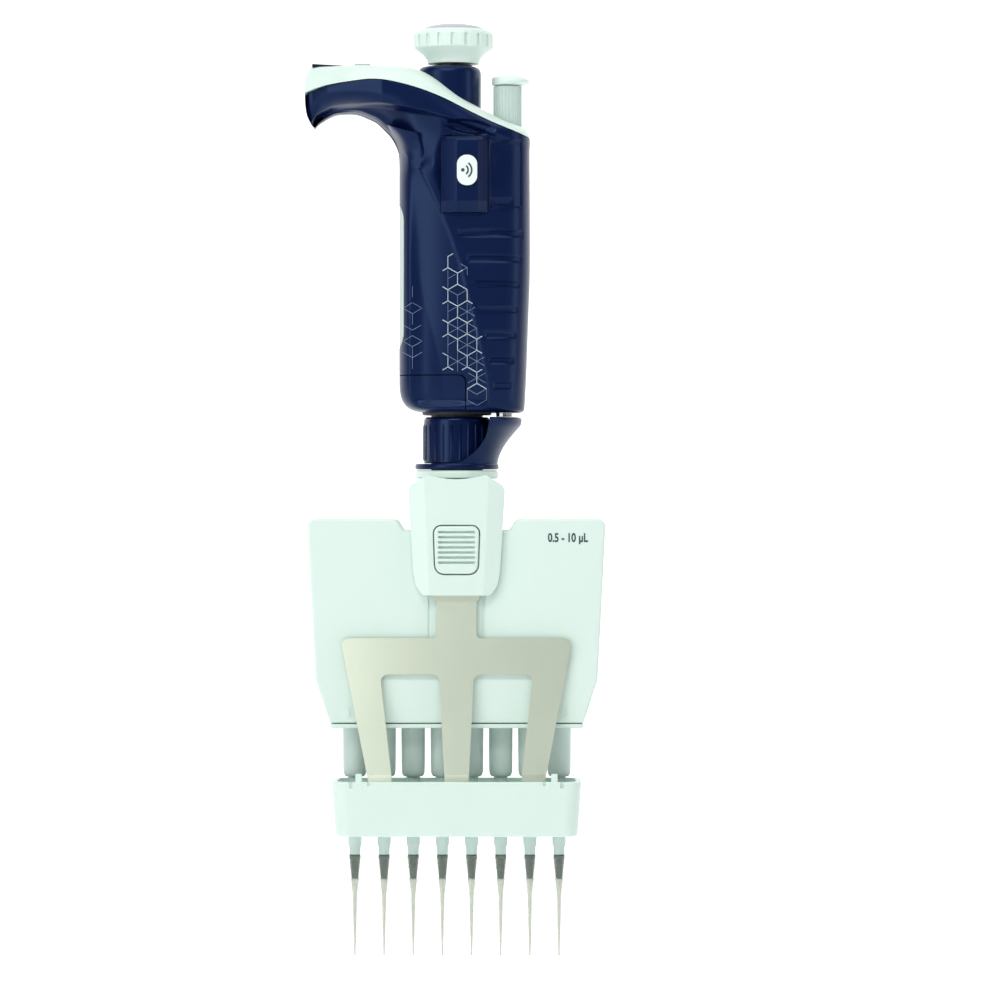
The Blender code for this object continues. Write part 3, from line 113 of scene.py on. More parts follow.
def studio():
    """A white sweep with soft lights from the left, the front, the right and overhead."""
    paper, tree = blank("white_sweep_paper")
    # painted light: the paper glows by emission where it rises behind and all round the room,
    # and that painted glow dies away close in front of the object
    coords = add(tree, "ShaderNodeTexCoord")
    place = add(tree, "ShaderNodeSeparateXYZ", {"Vector": coords.outputs["Object"]})
    behind = add(tree, "ShaderNodeMapRange", {"Value": place.outputs["Y"], "From Min": -0.25,
                 "From Max": 0.35, "To Min": 0.0, "To Max": 0.62})
    away = add(tree, "ShaderNodeVectorMath", {0: coords.outputs["Object"]}, operation="LENGTH")
    round_it = add(tree, "ShaderNodeMapRange", {"Value": away.outputs["Value"],
                   "From Min": 0.7, "From Max": 2.4, "To Min": 0.0, "To Max": 0.9})
    painted_glow = add(tree, "ShaderNodeMath", {0: behind.outputs[0], 1: round_it.outputs[0]},
               operation="MAXIMUM")
    shader = add(tree, "ShaderNodeBsdfPrincipled", {
        "Base Color": linear(0xF2F4F4), "Roughness": 0.9,
        "Emission Color": linear(0xFFFFFF), "Emission Strength": painted_glow.outputs[0]})
    add(tree, "ShaderNodeOutputMaterial", {"Surface": shader.outputs[0]})
    floor, bend, half = -0.03, 0.9, 5.0
    rows = [(-half, floor), (bend, floor)]
    rows += [(bend + bend * math.sin(a), floor + bend - bend * math.cos(a))
             for a in [math.radians(9 * i) for i in range(1, 11)]]
    rows += [(2 * bend, 4.5)]
    points = [(x, y, z) for y, z in rows for x in (-half, half)]
    faces = [(2 * i, 2 * i + 1, 2 * i + 3, 2 * i + 2) for i in range(len(rows) - 1)]
    mesh = bpy.data.meshes.new("sweep")
    mesh.from_pydata(points, [], faces)
    mesh.materials.append(paper)
    mesh.shade_smooth()
    new_object("sweep", mesh)
    for name, place, size, power in (
        ("left_softbox", (-1.22, -1.25, 0.5), (0.9, 1.3), 9.5),
        ("front_softbox", (-0.25, -1.4, 1.3), (1.1, 0.5), 10.5),
        ("right_softbox", (1.6, -0.5, 0.5), (0.5, 1.3), 4.0),
        ("top_softbox", (0.0, -0.3, 1.5), (1.5, 0.9), 9.0),
    ):
        data = bpy.data.lights.new(name, "AREA")
        data.shape = "RECTANGLE"
        data.size, data.size_y = size
        data.energy = power
        light = new_object(name, data)
        light.location = place
        aim = Vector((0.0, 0.0, 0.14)) - Vector(place)
        light.rotation_euler = aim.to_track_quat("-Z", "Y").to_euler()
    world = bpy.data.worlds.new("soft_studio")
    bpy.context.scene.world = world
    world.use_nodes = True
    tree = world.node_tree
    room = tree.nodes["Background"]
    room.inputs["Color"].default_value = linear(0xF4F8FA)
    room.inputs["Strength"].default_value = 0.12
    # the studio wall looks white, though little of the light comes from it
    wall = add(tree, "ShaderNodeBackground", {"Color": linear(0xFCFDFD), "Strength": 1.0})
    both = add(tree, "ShaderNodeMixShader", {
        0: add(tree, "ShaderNodeLightPath").outputs["Is Camera Ray"],
        1: room.outputs[0], 2: wall.outputs[0]})
    tree.links.new(both.outputs[0], tree.nodes["World Output"].inputs["Surface"])


studio()


# ---- materials
def finish(name, colour, rough, grain=0.3, depth=0.02, tint=0.06, cloud=9.0, stretch=(1, 1, 1),
           rough_swing=0.06, bow=0.0, **set_on_shader):
    """A surface with a grain of real size in mm, a slow drift of shade and a wandering gloss."""
    made, tree = blank(name)
    coords = add(tree, "ShaderNodeTexCoord")
    place = add(tree, "ShaderNodeMapping",
                {"Vector": coords.outputs["Object"], "Scale": stretch})
    slow = add(tree, "ShaderNodeTexNoise", {"Vector": coords.outputs["Object"],
               "Scale": 1000.0 / cloud, "Detail": 2.0, "Roughness": 0.5})
    fine = add(tree, "ShaderNodeTexNoise", {"Vector": place.outputs[0],
               "Scale": 1000.0 / grain, "Detail": 2.0, "Roughness": 0.6})
    base = linear(colour)
    dark = tuple(c * (1 - tint) for c in base[:3]) + (1.0,)
    light = tuple(min(c * (1 + tint), 1.0) for c in base[:3]) + (1.0,)
    shade = add(tree, "ShaderNodeMix", {0: slow.outputs["Fac"], 6: dark, 7: light},
                data_type="RGBA")
    gloss = add(tree, "ShaderNodeMapRange", {"Value": fine.outputs["Fac"],
                "From Min": 0.3, "From Max": 0.7,
                "To Min": rough - rough_swing, "To Max": rough + rough_swing})
    bump = add(tree, "ShaderNodeBump", {"Height": fine.outputs["Fac"], "Strength": 0.5,
               "Distance": depth * MM})
    if bow:
        # a blade that bows a little across its width: its height falls off as x squared
        across = add(tree, "ShaderNodeSeparateXYZ", {"Vector": coords.outputs["Object"]})
        square = add(tree, "ShaderNodeMath", {0: across.outputs["X"], 1: across.outputs["X"]},
                     operation="MULTIPLY")
        fall = add(tree, "ShaderNodeMath", {0: square.outputs[0], 1: -bow}, operation="MULTIPLY")
        bump = add(tree, "ShaderNodeBump", {"Height": fall.outputs[0], "Strength": 1.0,
                   "Distance": 1.0, "Normal": bump.outputs[0]})
    shader = add(tree, "ShaderNodeBsdfPrincipled", {
        "Base Color": shade.outputs[2], "Roughness": gloss.outputs[0],
        "Normal": bump.outputs[0], **set_on_shader})
    add(tree, "ShaderNodeOutputMaterial", {"Surface": shader.outputs[0]})
    return made


BLUE_SHEEN = {"IOR": 1.5, "Specular IOR Level": 0.37, "Specular Tint": linear(0x9EC7FF)}
# Moulded ABS with a fine satin skin: deep navy that goes pale only where it faces a light.
NAVY = finish("moulded_navy_abs", 0x07143B, 0.31, grain=0.35, depth=0.0015, tint=0.06,
              cloud=14.0, rough_swing=0.02, **BLUE_SHEEN)
# The same ABS on the ribbed nut, a little glossier from its polished tool.
NAVY_GLOSS = finish("moulded_navy_abs_polished", 0x07143B, 0.22, grain=0.35, depth=0.001,
                    tint=0.06, cloud=10.0, rough_swing=0.02, **BLUE_SHEEN)
# Moulded PBT in a cool white with a mint cast; the grain only softens its highlights.
WHITE = finish("moulded_white_pbt", 0xDCEFE6, 0.36, grain=0.4, depth=0.006, tint=0.015,
               cloud=20.0, rough_swing=0.05, IOR=1.5)
# Moulded grey polyamide of the barrels and the ejector's stem, matt with a slight tooth.
GREY = finish("moulded_grey_polyamide", 0xC8D9D4, 0.42, grain=0.3, depth=0.003, tint=0.03,
              cloud=6.0)
# Glass-filled black polyamide: nearly black, a little mottled.
BLACK = finish("moulded_black_polyamide", 0x10141C, 0.48, grain=0.3, depth=0.01, tint=0.15,
               cloud=4.0)
# Polished acrylic over a dark display: mirror-smooth with a faint ripple.
GLASS = finish("polished_dark_acrylic", 0x121A2E, 0.06, grain=6.0, depth=0.002, tint=0.05,
               rough_swing=0.02, IOR=1.49)
# Soft-touch TPU of the keys and the palm strip: matt, powdery, no clear highlight.
SOFT = finish("soft_touch_grey_tpu", 0xB4BDBE, 0.62, grain=0.25, depth=0.015, tint=0.05)
PALM = finish("soft_touch_pale_tpu", 0xC6D2CD, 0.55, grain=0.25, depth=0.015, tint=0.04)
# Satin grey ABS of the knob's push cap, with a lavender cast.
DOME = finish("satin_grey_abs", 0xB4B6C0, 0.4, grain=0.35, depth=0.006, tint=0.03)
# Brushed stainless sheet: lines drawn along the blade, warm grey, soft streaks of light.
FORK = finish("brushed_stainless_sheet", 0xD6DFCC, 0.46, grain=0.5, depth=0.002, tint=0.05,
              cloud=30.0, stretch=(1.0, 1.0, 0.04), rough_swing=0.05, bow=3.4, Metallic=0.8)
# Turned steel: fine rings round the axis left by the tool.
TURNED = finish("turned_steel", 0xB8BABC, 0.26, grain=0.6, depth=0.006, tint=0.06,
                stretch=(0.1, 0.1, 1.0), Metallic=1.0)
# Drawn spring wire, bright and smooth.
WIRE = finish("drawn_spring_wire", 0xBFC1C3, 0.3, grain=0.3, depth=0.004, tint=0.05,
              Metallic=1.0)
# Nickel-plated can of the motor: pale, softly mottled.
CAN = finish("nickel_plated_can", 0xA6A8AA, 0.34, grain=0.5, depth=0.004, tint=0.06,
             cloud=5.0, Metallic=1.0)
# Milled aluminium of the piston plate, cutter marks along X.
ALLOY = finish("milled_aluminium", 0xB9BDBF, 0.36, grain=0.4, depth=0.008, tint=0.05,
               stretch=(0.08, 1.0, 1.0), Metallic=1.0)
# Shrink-wrapped lithium cell: glossy blue film with slack wrinkles.
CELL = finish("shrink_wrapped_film", 0x2F62A0, 0.3, grain=3.0, depth=0.06, tint=0.08)
# Solder mask over glass-fibre board: deep green, faint weave.
BOARD = finish("solder_mask_board", 0x16603A, 0.38, grain=0.8, depth=0.01, tint=0.12,
               cloud=3.0)
# Screen-printed ink: silver-grey with a slight sparkle, and a dark one for figures.
SILVER_INK = finish("silver_screen_ink", 0xB9C8D2, 0.4, grain=0.3, depth=0.004, tint=0.05,
                    Metallic=0.35)
FAINT_INK = finish("faint_silver_ink", 0x7488A0, 0.45, grain=0.3, depth=0.004, tint=0.05,
                   Metallic=0.35)
DARK_INK = finish("dark_screen_ink", 0x33484C, 0.5, grain=0.3, depth=0.004, tint=0.05)
# Matt polyester label film, bright white.
FILM = finish("matt_label_film", 0xE9F3EE, 0.5, grain=0.3, depth=0.004, tint=0.01)
# Injection-moulded polypropylene of the tips: milky and half see-through, waxy highlights.
TIP = finish("milky_polypropylene", 0xC9CFBE, 0.24, grain=4.0, depth=0.0005, tint=0.02,
             rough_swing=0.02, IOR=1.49, Alpha=0.42)
# The same plastic where it is thin and hugs the cone: nearly clear, seen by its rim.
CLEAR = finish("clear_polypropylene", 0xDDE2D6, 0.16, grain=4.0, depth=0.0005, tint=0.02,
               rough_swing=0.02, IOR=1.49, Alpha=0.10)
# Dark fluororubber of the cone that a tip seals on.
CONE = finish("grey_sealing_cone", 0x1C3A2F, 0.45, grain=0.3, depth=0.01, tint=0.06)


# ---- mesh helpers, all in millimetres
def build(name, points, faces, look=None, sharp=38):
    """A closed piece from points in millimetres, faces outwards."""
    mesh = bpy.data.meshes.new(name)
    mesh.from_pydata([Vector(p) * MM for p in points], [], faces)
    work = bmesh.new()
    work.from_mesh(mesh)
    bmesh.ops.recalc_face_normals(work, faces=work.faces)
    work.to_mesh(mesh)
    work.free()
    obj = new_object(name, mesh)
    if look:
        dress(obj, look, sharp)
    return obj


def dress(obj, look, sharp=38):
    """One look all over, with smooth faces that stay crisp at arrises over the sharp angle."""
    obj.data.materials.clear()
    obj.data.materials.append(look)
    obj.data.shade_smooth()
    obj.data.set_sharp_from_angle(angle=math.radians(sharp))
    # wide faces keep their own direction, so flats stay flat and only the arrises roll
    weighted = obj.modifiers.new("weighted", "WEIGHTED_NORMAL")
    weighted.keep_sharp = True
    return baked(obj, weighted)


def baked(obj, modifier):
    """The modifier worked out into a plain mesh and taken away."""
    graph = bpy.context.evaluated_depsgraph_get()
    result = bpy.data.meshes.new_from_object(obj.evaluated_get(graph))
    obj.modifiers.remove(modifier)
    old = obj.data
    obj.data = result
    bpy.data.meshes.remove(old)
    return obj


def boolean(obj, tool, operation="DIFFERENCE"):
    """Cuts with a tool, joins it or keeps what is inside it; the tool goes away."""
    modifier = obj.modifiers.new("cut", "BOOLEAN")
    modifier.operation = operation
    modifier.object = tool
    baked(obj, modifier)
    bpy.data.objects.remove(tool, do_unlink=True)
    return obj


def cut(obj, shape):
    """Takes a shape out of a piece."""
    return boolean(obj, build("tool", *shape))


def inside(obj, shape):
    """Keeps the part of a piece that lies in a shape."""
    return boolean(obj, build("tool", *shape), "INTERSECT")


def soften(obj, width, segments=3, angle=40):
    """Rounds every arris over an angle by a width in millimetres."""
    bevel = obj.modifiers.new("soften", "BEVEL")
    bevel.width = width * MM
    bevel.segments = segments
    bevel.limit_method = "ANGLE"
    bevel.angle_limit = math.radians(angle)
    bevel.use_clamp_overlap = True
    return baked(obj, bevel)


def twin(obj, name):
    """A copy with its own mesh."""
    return new_object(name, obj.data.copy())


def merged(objects, name):
    """Several objects as one, their materials kept."""
    bpy.ops.object.select_all(action="DESELECT")
    for obj in objects:
        obj.select_set(True)
    bpy.context.view_layer.objects.active = objects[0]
    bpy.ops.object.join()
    objects[0].name = name
    return objects[0]


def loft(rings):
    """A solid through rings of equal count, each end one face."""
    count = len(rings[0])
    points = [p for ring in rings for p in ring]
    faces = []
    for i in range(len(rings) - 1):
        for j in range(count):
            k = (j + 1) % count
            faces.append((i * count + j, i * count + k, (i + 1) * count + k, (i + 1) * count + j))
    faces.append(tuple(range(count)))
    faces.append(tuple(range((len(rings) - 1) * count, len(rings) * count)))
    return points, faces


def turned(profile, sides=64, x=0.0, y=0.0):
    """A (radius, z) profile turned about an upright axis; a radius of 0 is a pole."""
    points, faces, rows = [], [], []
    for radius, z in profile:
        row = []
        for j in range(1 if radius == 0 else sides):
            angle = 2 * math.pi * (j + 0.5) / sides
            row.append(len(points))
            points.append((x + radius * math.cos(angle), y + radius * math.sin(angle), z))
        rows.append(row)
    whole = profile[0][0] > 0 and profile[-1][0] > 0
    for i in range(len(rows) if whole else len(rows) - 1):
        low, high = rows[i], rows[(i + 1) % len(rows)]
        for j in range(sides):
            k = (j + 1) % sides
            if len(low) == 1 and len(high) == 1:
                continue
            if len(low) == 1:
                faces.append((low[0], high[k], high[j]))
            elif len(high) == 1:
                faces.append((low[j], low[k], high[0]))
            else:
                faces.append((low[j], low[k], high[k], high[j]))
    return points, faces


def rod(radius, low, high, sides=48, x=0.0):
    """An upright cylinder."""
    return turned([(0, low), (radius, low), (radius, high), (0, high)], sides, x)


def prism(outline, low, high, axis="Y"):
    """A closed outline drawn out along an axis: (x, z) points for Y, (x, y) for Z, (y, z) for X."""
    place = {"X": lambda a, b, t: (t, a, b), "Y": lambda a, b, t: (a, t, b),
             "Z": lambda a, b, t: (a, b, t)}[axis]
    count = len(outline)
    points = [place(a, b, t) for t in (low, high) for a, b in outline]
    faces = [tuple(range(count)), tuple(range(count, 2 * count))]
    faces += [(j, (j + 1) % count, count + (j + 1) % count, count + j) for j in range(count)]
    return points, faces


def box(low, high):
    """A box between two corners."""
    return prism([(low[0], low[2]), (high[0], low[2]), (high[0], high[2]), (low[0], high[2])],
                 low[1], high[1])


def rounded(corners, steps=6):
    """An outline from (a, b, radius) corners."""
    out = []
    for i, (a, b, radius) in enumerate(corners):
        here = Vector((a, b))
        if radius <= 0:
            out.append((a, b))
            continue
        before = (Vector(corners[i - 1][:2]) - here).normalized()
        after = (Vector(corners[(i + 1) % len(corners)][:2]) - here).normalized()
        half = before.angle(after) / 2
        centre = here + (before + after).normalized() * (radius / math.sin(half))
        start = here + before * (radius / math.tan(half)) - centre
        end = here + after * (radius / math.tan(half)) - centre
        sweep = start.angle_signed(end)
        for step in range(steps + 1):
            turn = -sweep * step / steps
            out.append((centre.x + start.x * math.cos(turn) - start.y * math.sin(turn),
                        centre.y + start.x * math.sin(turn) + start.y * math.cos(turn)))
    return out


def plate(left, right, low, high, radius, steps):
    """Outline of a rectangle with round corners."""
    return rounded([(left, low, radius), (right, low, radius), (right, high, radius),
                    (left, high, radius)], steps)


def mirrored(half):
    """An outline from its right half, given from the foot to the top."""
    return list(half) + [(-a, *rest) for a, *rest in reversed(half)]


def oval(x, y, half_x, half_y, z, count=64, square=2.0):
    """A level ring, round at a square of 2 and squarer above it."""
    ring = []
    for j in range(count):
        c, s = math.cos(2 * math.pi * j / count), math.sin(2 * math.pi * j / count)
        ring.append((x + half_x * math.copysign(abs(c) ** (2 / square), c),
                     y + half_y * math.copysign(abs(s) ** (2 / square), s), z))
    return ring


def eased(knots, steps):
    """Points of a Catmull-Rom curve through the knots."""
    out = []
    for i in range(len(knots) - 1):
        a, b = knots[max(i - 1, 0)], knots[i]
        c, d = knots[i + 1], knots[min(i + 2, len(knots) - 1)]
        for step in range(steps):
            t = step / steps
            out.append(tuple(0.5 * (2 * q + (r - p) * t + (2 * p - 5 * q + 4 * r - s) * t * t
                                    + (3 * q - p - 3 * r + s) * t ** 3)
                             for p, q, r, s in zip(a, b, c, d)))
    out.append(tuple(knots[-1]))
    return out


def ramp(x, low, high):
    """An eased rise from 0 at low to 1 at high."""
    t = np.clip((x - low) / (high - low), 0.0, 1.0)
    return t * t * (3 - 2 * t)


# ---- levels read from the frame
def corners(node):
    """The two corners of a CAD node's box, in millimetres."""
    return [[c / MM for c in corner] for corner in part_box(node)]


def extent(node, axis):
    """Where a CAD node starts and ends along an axis, in millimetres."""
    low, high = corners(node)
    return low[axis], high[axis]


def middle(node):
    """Where the middle of a CAD node lies along X, in millimetres."""
    return sum(extent(node, 0)) / 2


GAP = 0.3  # between neighbouring pieces
SEAM = 0.06  # between the front and rear shells of the handle
HANDLE_WALL = 2.5
NUT_BORE, COLLAR_BORE = 8.3, 8.6  # round the neck tube
FOOT_DEPTH, KNEE_HEIGHT = 10.6, 13.3  # half the manifold's depth at its foot, and where it widens
Z_TIP = extent("tip_1", 2)[1]
Z_COMB_LOW, comb_peak = extent("ejector_comb", 2)
Z_COMB_TOP = comb_peak - 2.5
Z_BARREL_LOW = Z_COMB_TOP + 0.9
Z_HOUSING_LOW, Z_BOSS = extent("manifold_front", 2)
Z_HOUSING_TOP = Z_BOSS - 3.4
Z_SHELF = Z_HOUSING_TOP - 3.4
Z_HOOD_LOW, hood_peak = extent("ejector_hood", 2)
Z_HOOD_TOP = hood_peak - 1.3
Z_BODY = extent("handle_front", 2)[0]
Z_TOWER_LOW, Z_TOWER_TOP = extent("tower", 2)
ROD_X, BUTTON_X, KNOB_X, TOWER_X = map(middle, ("ejector_rod", "ejector_stem", "knob_ring",
                                                "tower"))
HOUSING_Y = extent("manifold_rear", 1)[1]
FORK_FRONT, FORK_BACK = extent("steel_fork", 1)
HOOD_FRONT = extent("ejector_hood", 1)[0]
CHANNELS = [middle(f"tip_{n}") for n in range(1, 9)]
SPAN = CHANNELS[-1] - CHANNELS[0]
FOOT_HALF = SPAN / 2 + 7.4
KNEE = Z_HOUSING_LOW + KNEE_HEIGHT


# ---- handle
# Stations from the foot to the tip of the hook: palm-side x and height over the foot, outer x and
# height, depth to the front and to the back, and how square the section is.
STATIONS = (
    (-9.9, 0.0, 19.6, 0.0, 11.0, 12.0, 3.0), (-13.6, 0.7, 20.6, 0.6, 12.9, 13.9, 3.0),
    (-16.2, 2.6, 20.9, 2.4, 13.9, 15.0, 3.0), (-17.5, 6.0, 21.1, 6.0, 14.4, 15.8, 3.0),
    (-17.75, 12.0, 21.4, 12.0, 14.7, 16.4, 3.0), (-17.75, 26.0, 21.9, 26.0, 15.0, 17.2, 3.0),
    (-17.75, 44.0, 22.5, 44.0, 15.0, 17.5, 3.0), (-17.75, 62.0, 22.5, 63.0, 15.0, 17.3, 3.0),
    (-17.8, 77.6, 22.4, 79.0, 15.0, 16.6, 3.0), (-18.4, 81.2, 22.4, 84.9, 15.0, 16.3, 3.1),
    (-19.4, 83.4, 20.6, 87.5, 15.0, 16.2, 3.2), (-20.6, 85.3, 13.8, 90.3, 15.0, 16.0, 3.3),
    (-22.4, 87.2, 4.5, 95.3, 15.0, 15.8, 3.4), (-25.0, 89.6, -6.0, 102.8, 15.0, 15.5, 3.5),
    (-27.6, 90.9, -14.5, 106.1, 15.0, 15.2, 3.6), (-30.3, 92.0, -23.0, 106.7, 14.9, 15.0, 3.6),
    (-33.0, 92.4, -31.0, 106.8, 14.8, 14.8, 3.6), (-37.2, 92.1, -39.0, 106.6, 14.6, 14.6, 3.6),
    (-39.6, 91.1, -43.6, 106.3, 14.3, 14.3, 3.5), (-41.4, 90.0, -46.2, 104.6, 13.9, 13.9, 3.4),
    (-42.7, 89.1, -46.8, 98.0, 13.0, 13.0, 3.2), (-43.4, 88.4, -46.3, 92.0, 11.6, 11.6, 3.0),
    (-43.8, 87.9, -44.9, 88.8, 9.5, 9.5, 2.6))

LAST = len(STATIONS) - 1


def inset(depth, first=0, last=LAST):
    """The stations moved inwards, square to the outline."""
    knots = []
    for i in range(first, last + 1):
        before, here = STATIONS[max(i - 1, 0)], STATIONS[i]
        after = STATIONS[min(i + 1, LAST)]
        ends = []
        for side, turn in ((0, 1), (2, -1)):
            run = Vector((after[side] - before[side], after[side + 1] - before[side + 1]))
            run.normalize()
            ends += [here[side] + run.y * turn * depth,
                     Z_BODY + here[side + 1] - run.x * turn * depth]
        knots.append((*ends, here[4] - depth, here[5] - depth, here[6]))
    return knots


def section(square, count):
    """(across, along) of a half oval from its right end round to its left, evenly spaced."""
    angle = np.linspace(0.0, math.pi, 1201)
    across = np.sign(np.cos(angle)) * np.abs(np.cos(angle)) ** (2 / square)
    along = np.abs(np.sin(angle)) ** (2 / square)
    run = np.concatenate([[0], np.cumsum(np.hypot(np.diff(across) * 20, np.diff(along) * 15))])
    even = np.linspace(0, run[-1], count)
    return np.interp(even, run, across), np.interp(even, run, along)


def handle_rings(spacing, depth=0.0, first=0, last=LAST):
    """Rings at an even spacing along the handle."""
    path = eased(inset(depth, first, last), 24)
    mids = [Vector(((p[0] + p[2]) / 2, (p[1] + p[3]) / 2)) for p in path]
    # the outer side turns faster than the middle, so it sets the spacing there
    outer = [Vector((p[2], p[3])) for p in path]
    run = [0.0]
    for i in range(1, len(path)):
        run.append(run[-1] + max((mids[i] - mids[i - 1]).length,
                                 0.8 * (outer[i] - outer[i - 1]).length))
    table = np.array(path)
    even = np.linspace(0, run[-1], int(run[-1] / spacing) + 1)
    return np.stack([np.interp(even, run, table[:, k]) for k in range(7)], axis=1)


def shell_half(side, spacing, count, carve=None):
    """The front (-1) or rear (1) half of the outer form, flat along the parting line."""
    rings = []
    for lx, lz, rx, rz, front, rear, square in handle_rings(spacing):
        across, along = section(square, count)
        x = (lx + rx) / 2 + across * (rx - lx) / 2
        z = (lz + rz) / 2 + across * (rz - lz) / 2
        deep = rear if side > 0 else front
        y = np.maximum(deep * along, SEAM / 2)
        x = np.clip(x, CAD_BOX[0][0] / MM, CAD_BOX[1][0] / MM)
        if carve is not None:
            y = np.maximum(y - carve(x, z, across, along), SEAM / 2)
        y = np.clip(side * y, CAD_BOX[0][1] / MM, CAD_BOX[1][1] / MM)
        rings.append([(float(a), float(b), float(c)) for a, b, c in zip(x, y, z)])
    return loft(rings)


def slanted_edge(z):
    """X of the edge that runs down the front, at a height over the foot."""
    return np.interp(z, [-4.0, 10.4, 22.4, 34.4, 45.4, 53.4, 63.9, 73.4, 78.4, 84.0],
                     [10.6, 9.6, 7.0, 4.0, 1.2, -1.5, -5.9, -10.6, -15.0, -19.0])


def band_edge(x):
    """Height of the lower edge of the dark band under the pale cover."""
    return np.interp(x, [-46, -45.6, -43.3, -38.8, -33.6, -24.5, -20.5, -15.3, -9.0, -3.0, 3.6,
                         10.0, 16.6, 22.4],
                     [86, 88.4, 91.8, 94.3, 94.9, 94.9, 94.4, 93.4, 92.0, 90.4, 88.1, 85.8, 83.5,
                      82.0])


GROOVES = [(54.6 - 7.78 * i, 0.4 + 10.9 * (i / 6) ** 0.72, 20.4 - 3.5 * i / 6) for i in range(7)]


def slot(x, z, left, right, low, high, soft=0.45):
    """How far inside a rectangle, as a soft-edged 0 to 1."""
    d = np.minimum(np.minimum(x - left, right - x), np.minimum(z - low, high - z))
    return ramp(d, -soft * 0.4, soft)


def within(x, z, corners):
    """How far inside a shape with straight sides, given clockwise."""
    away = []
    for (ax, az), (bx, bz) in zip(corners, corners[1:] + corners[:1]):
        away.append(((bz - az) * (x - ax) - (bx - ax) * (z - az)) / math.hypot(bx - ax, bz - az))
    return np.minimum.reduce(away)


THROAT_FACET = [(-21.5, 88.6), (-11.4, 85.7), (-9.8, 79.2), (-10.9, 73.0), (-17.6, 80.5)]


def hook_facets(x, z, along):
    """The hook's middle facet leans left and its end facet leans much further."""
    lean = 0.32 * np.clip(-22.7 - x, 0, 17.1) + 0.55 * np.clip(-39.8 - x, 0, 9)
    lean = lean * ramp(z - Z_BODY, 80.0, 90.0) * ramp(along, 0.45, 0.8)
    return np.minimum(lean, 8.0 * along)


def trim_facets(x, z, across, along):
    """The cover leans with the hook, but never back to the edge of the display."""
    return np.minimum(hook_facets(x, z, along), np.maximum(14.2 * along - 10.6, 0))


def front_carving(x, z, across, along):
    """How deep the front is let in at each place, in millimetres."""
    facets = hook_facets(x, z, along)
    z = z - Z_BODY
    mask = ramp(along, 0.45, 0.8)
    out = np.zeros_like(x)
    # ground on the left of the slanted edge, leaning towards the palm
    left = (slanted_edge(z) - x) * 0.94
    ground = ramp(z, 1.0, 4.0) * (1 - ramp(z, 76.0, 88.0)) * ramp(along, 0.72, 0.93)
    out += ground * (0.35 * ramp(left, -0.05, 0.45) + 0.15 * np.clip(left, 0, 13))
    # scoop under the dark band, which leans left and comes back up lower down
    under = band_edge(x) - z
    scoop = ramp(under, -0.1, 1.1) * (1 - ramp(under, 2.5, 17.0))
    out += 1.8 * scoop * ramp(x, -33.0, -20.0) * (1 - 0.8 * ramp(x, 6.0, 18.0))
    lean = ramp(under, 0.0, 1.6) * ramp(z, 73.0, 79.0) * ramp(along, 0.72, 0.93)
    out += 0.24 * np.clip(-4.5 - x, 0, 12) * lean
    # facets of the hook
    out = out * mask + facets * (1 - ramp(under, 0.0, 2.0) * ramp(x, -34.0, -24.0))
    # three-cornered facet beside the throat of the hook, which stays square to the front
    flat = ramp(within(x, z, THROAT_FACET), 0.0, 0.6) * mask
    out = out * (1 - flat) + flat * (1.3 + 0.12 * (x + 10.0))
    # the inner arc of the hook is rolled over widely
    roll = np.clip((-0.05 - across) / 0.95, 0, 1)
    out += 6.0 * roll ** 2.1 * ramp(z, 70.0, 86.0) * (1 - ramp(x, -19.0, -12.0)) * (1 - flat)
    # hollow on the left of the module, as deep as it is wide
    bulge = -4.4 - 2.6 * (1 - ((z - 75.0) / 9.5) ** 2)
    out += 0.55 * np.clip(x - bulge, 0, 2.8) * (np.abs(z - 75.0) < 9.5) * (x < 0)
    # brow over the module and the lens on its right
    brow = 3.4 - np.hypot((x - 4.0) * 0.42, (z - 87.3 + 0.12 * (x - 4)) * 1.5)
    out += 1.3 * ramp(brow, 0.0, 1.2) * mask
    # recess on the right of the module with its ledge
    out += 0.9 * mask * slot(x, z, 10.3, 19.9, 62.6, 83.2, 0.4)
    out += 0.5 * mask * slot(x, z, 10.3, 17.0, 62.2, 65.2, 1.4)
    for level, start, end in GROOVES:
        out += 0.6 * mask * slot(x, z, start, end, level - 0.95, level + 0.95, 0.35)
    return out


# ---- handle pieces
def trim_line():
    """Lower edge of the pale cover on the handle, from the hook to the button."""
    line = ((-46.8, 97.9), (-39.9, 100.2), (-30.3, 101.6), (-25.0, 101.8), (-19.7, 101.1),
            (-11.7, 99.0), (-3.7, 95.9), (4.3, 91.9), (12.2, 88.2), (22.4, 84.2))
    return eased([(x, Z_BODY + z) for x, z in line], 6)


def over_trim_line(shift):
    """All the room over that edge, moved up by a shift."""
    low = [(x, z + shift) for x, z in trim_line()]
    outline = [(-70.0, low[0][1] - 3.5), *low, (45.0, low[-1][1] - 7.5), (45.0, 320.0),
               (-70.0, 320.0)]
    return prism(outline, -40, 40)


def hollow():
    """The space inside the handle, kept clear of the carved front."""
    rings = core(HANDLE_WALL, 2, 15, 16, lambda i: 5.0 * min((i + 2) / 8, 1.0))
    rings[0] = [(x, y, Z_BODY + HANDLE_WALL) for x, y, _ in rings[0]]
    return loft(rings)


def palm_region(grow):
    """Outline of the grip strip on the palm side."""
    return prism(plate(-8.6 - grow, 8.6 + grow, Z_BODY + 20.0 - grow, Z_BODY + 63.5 + grow, 5, 6),
                 -28, 0, "X")


def door_region(grow):
    """The lower palm-side corner that is the battery's cap."""
    x, z = 2.6 + grow, Z_BODY + 11.2 + grow
    return prism(rounded([(-28, Z_BODY - 10, 0), (x, Z_BODY - 10, 0), (x, z, 2.0),
                          (-28, z, 0)], 6), -40, 5)


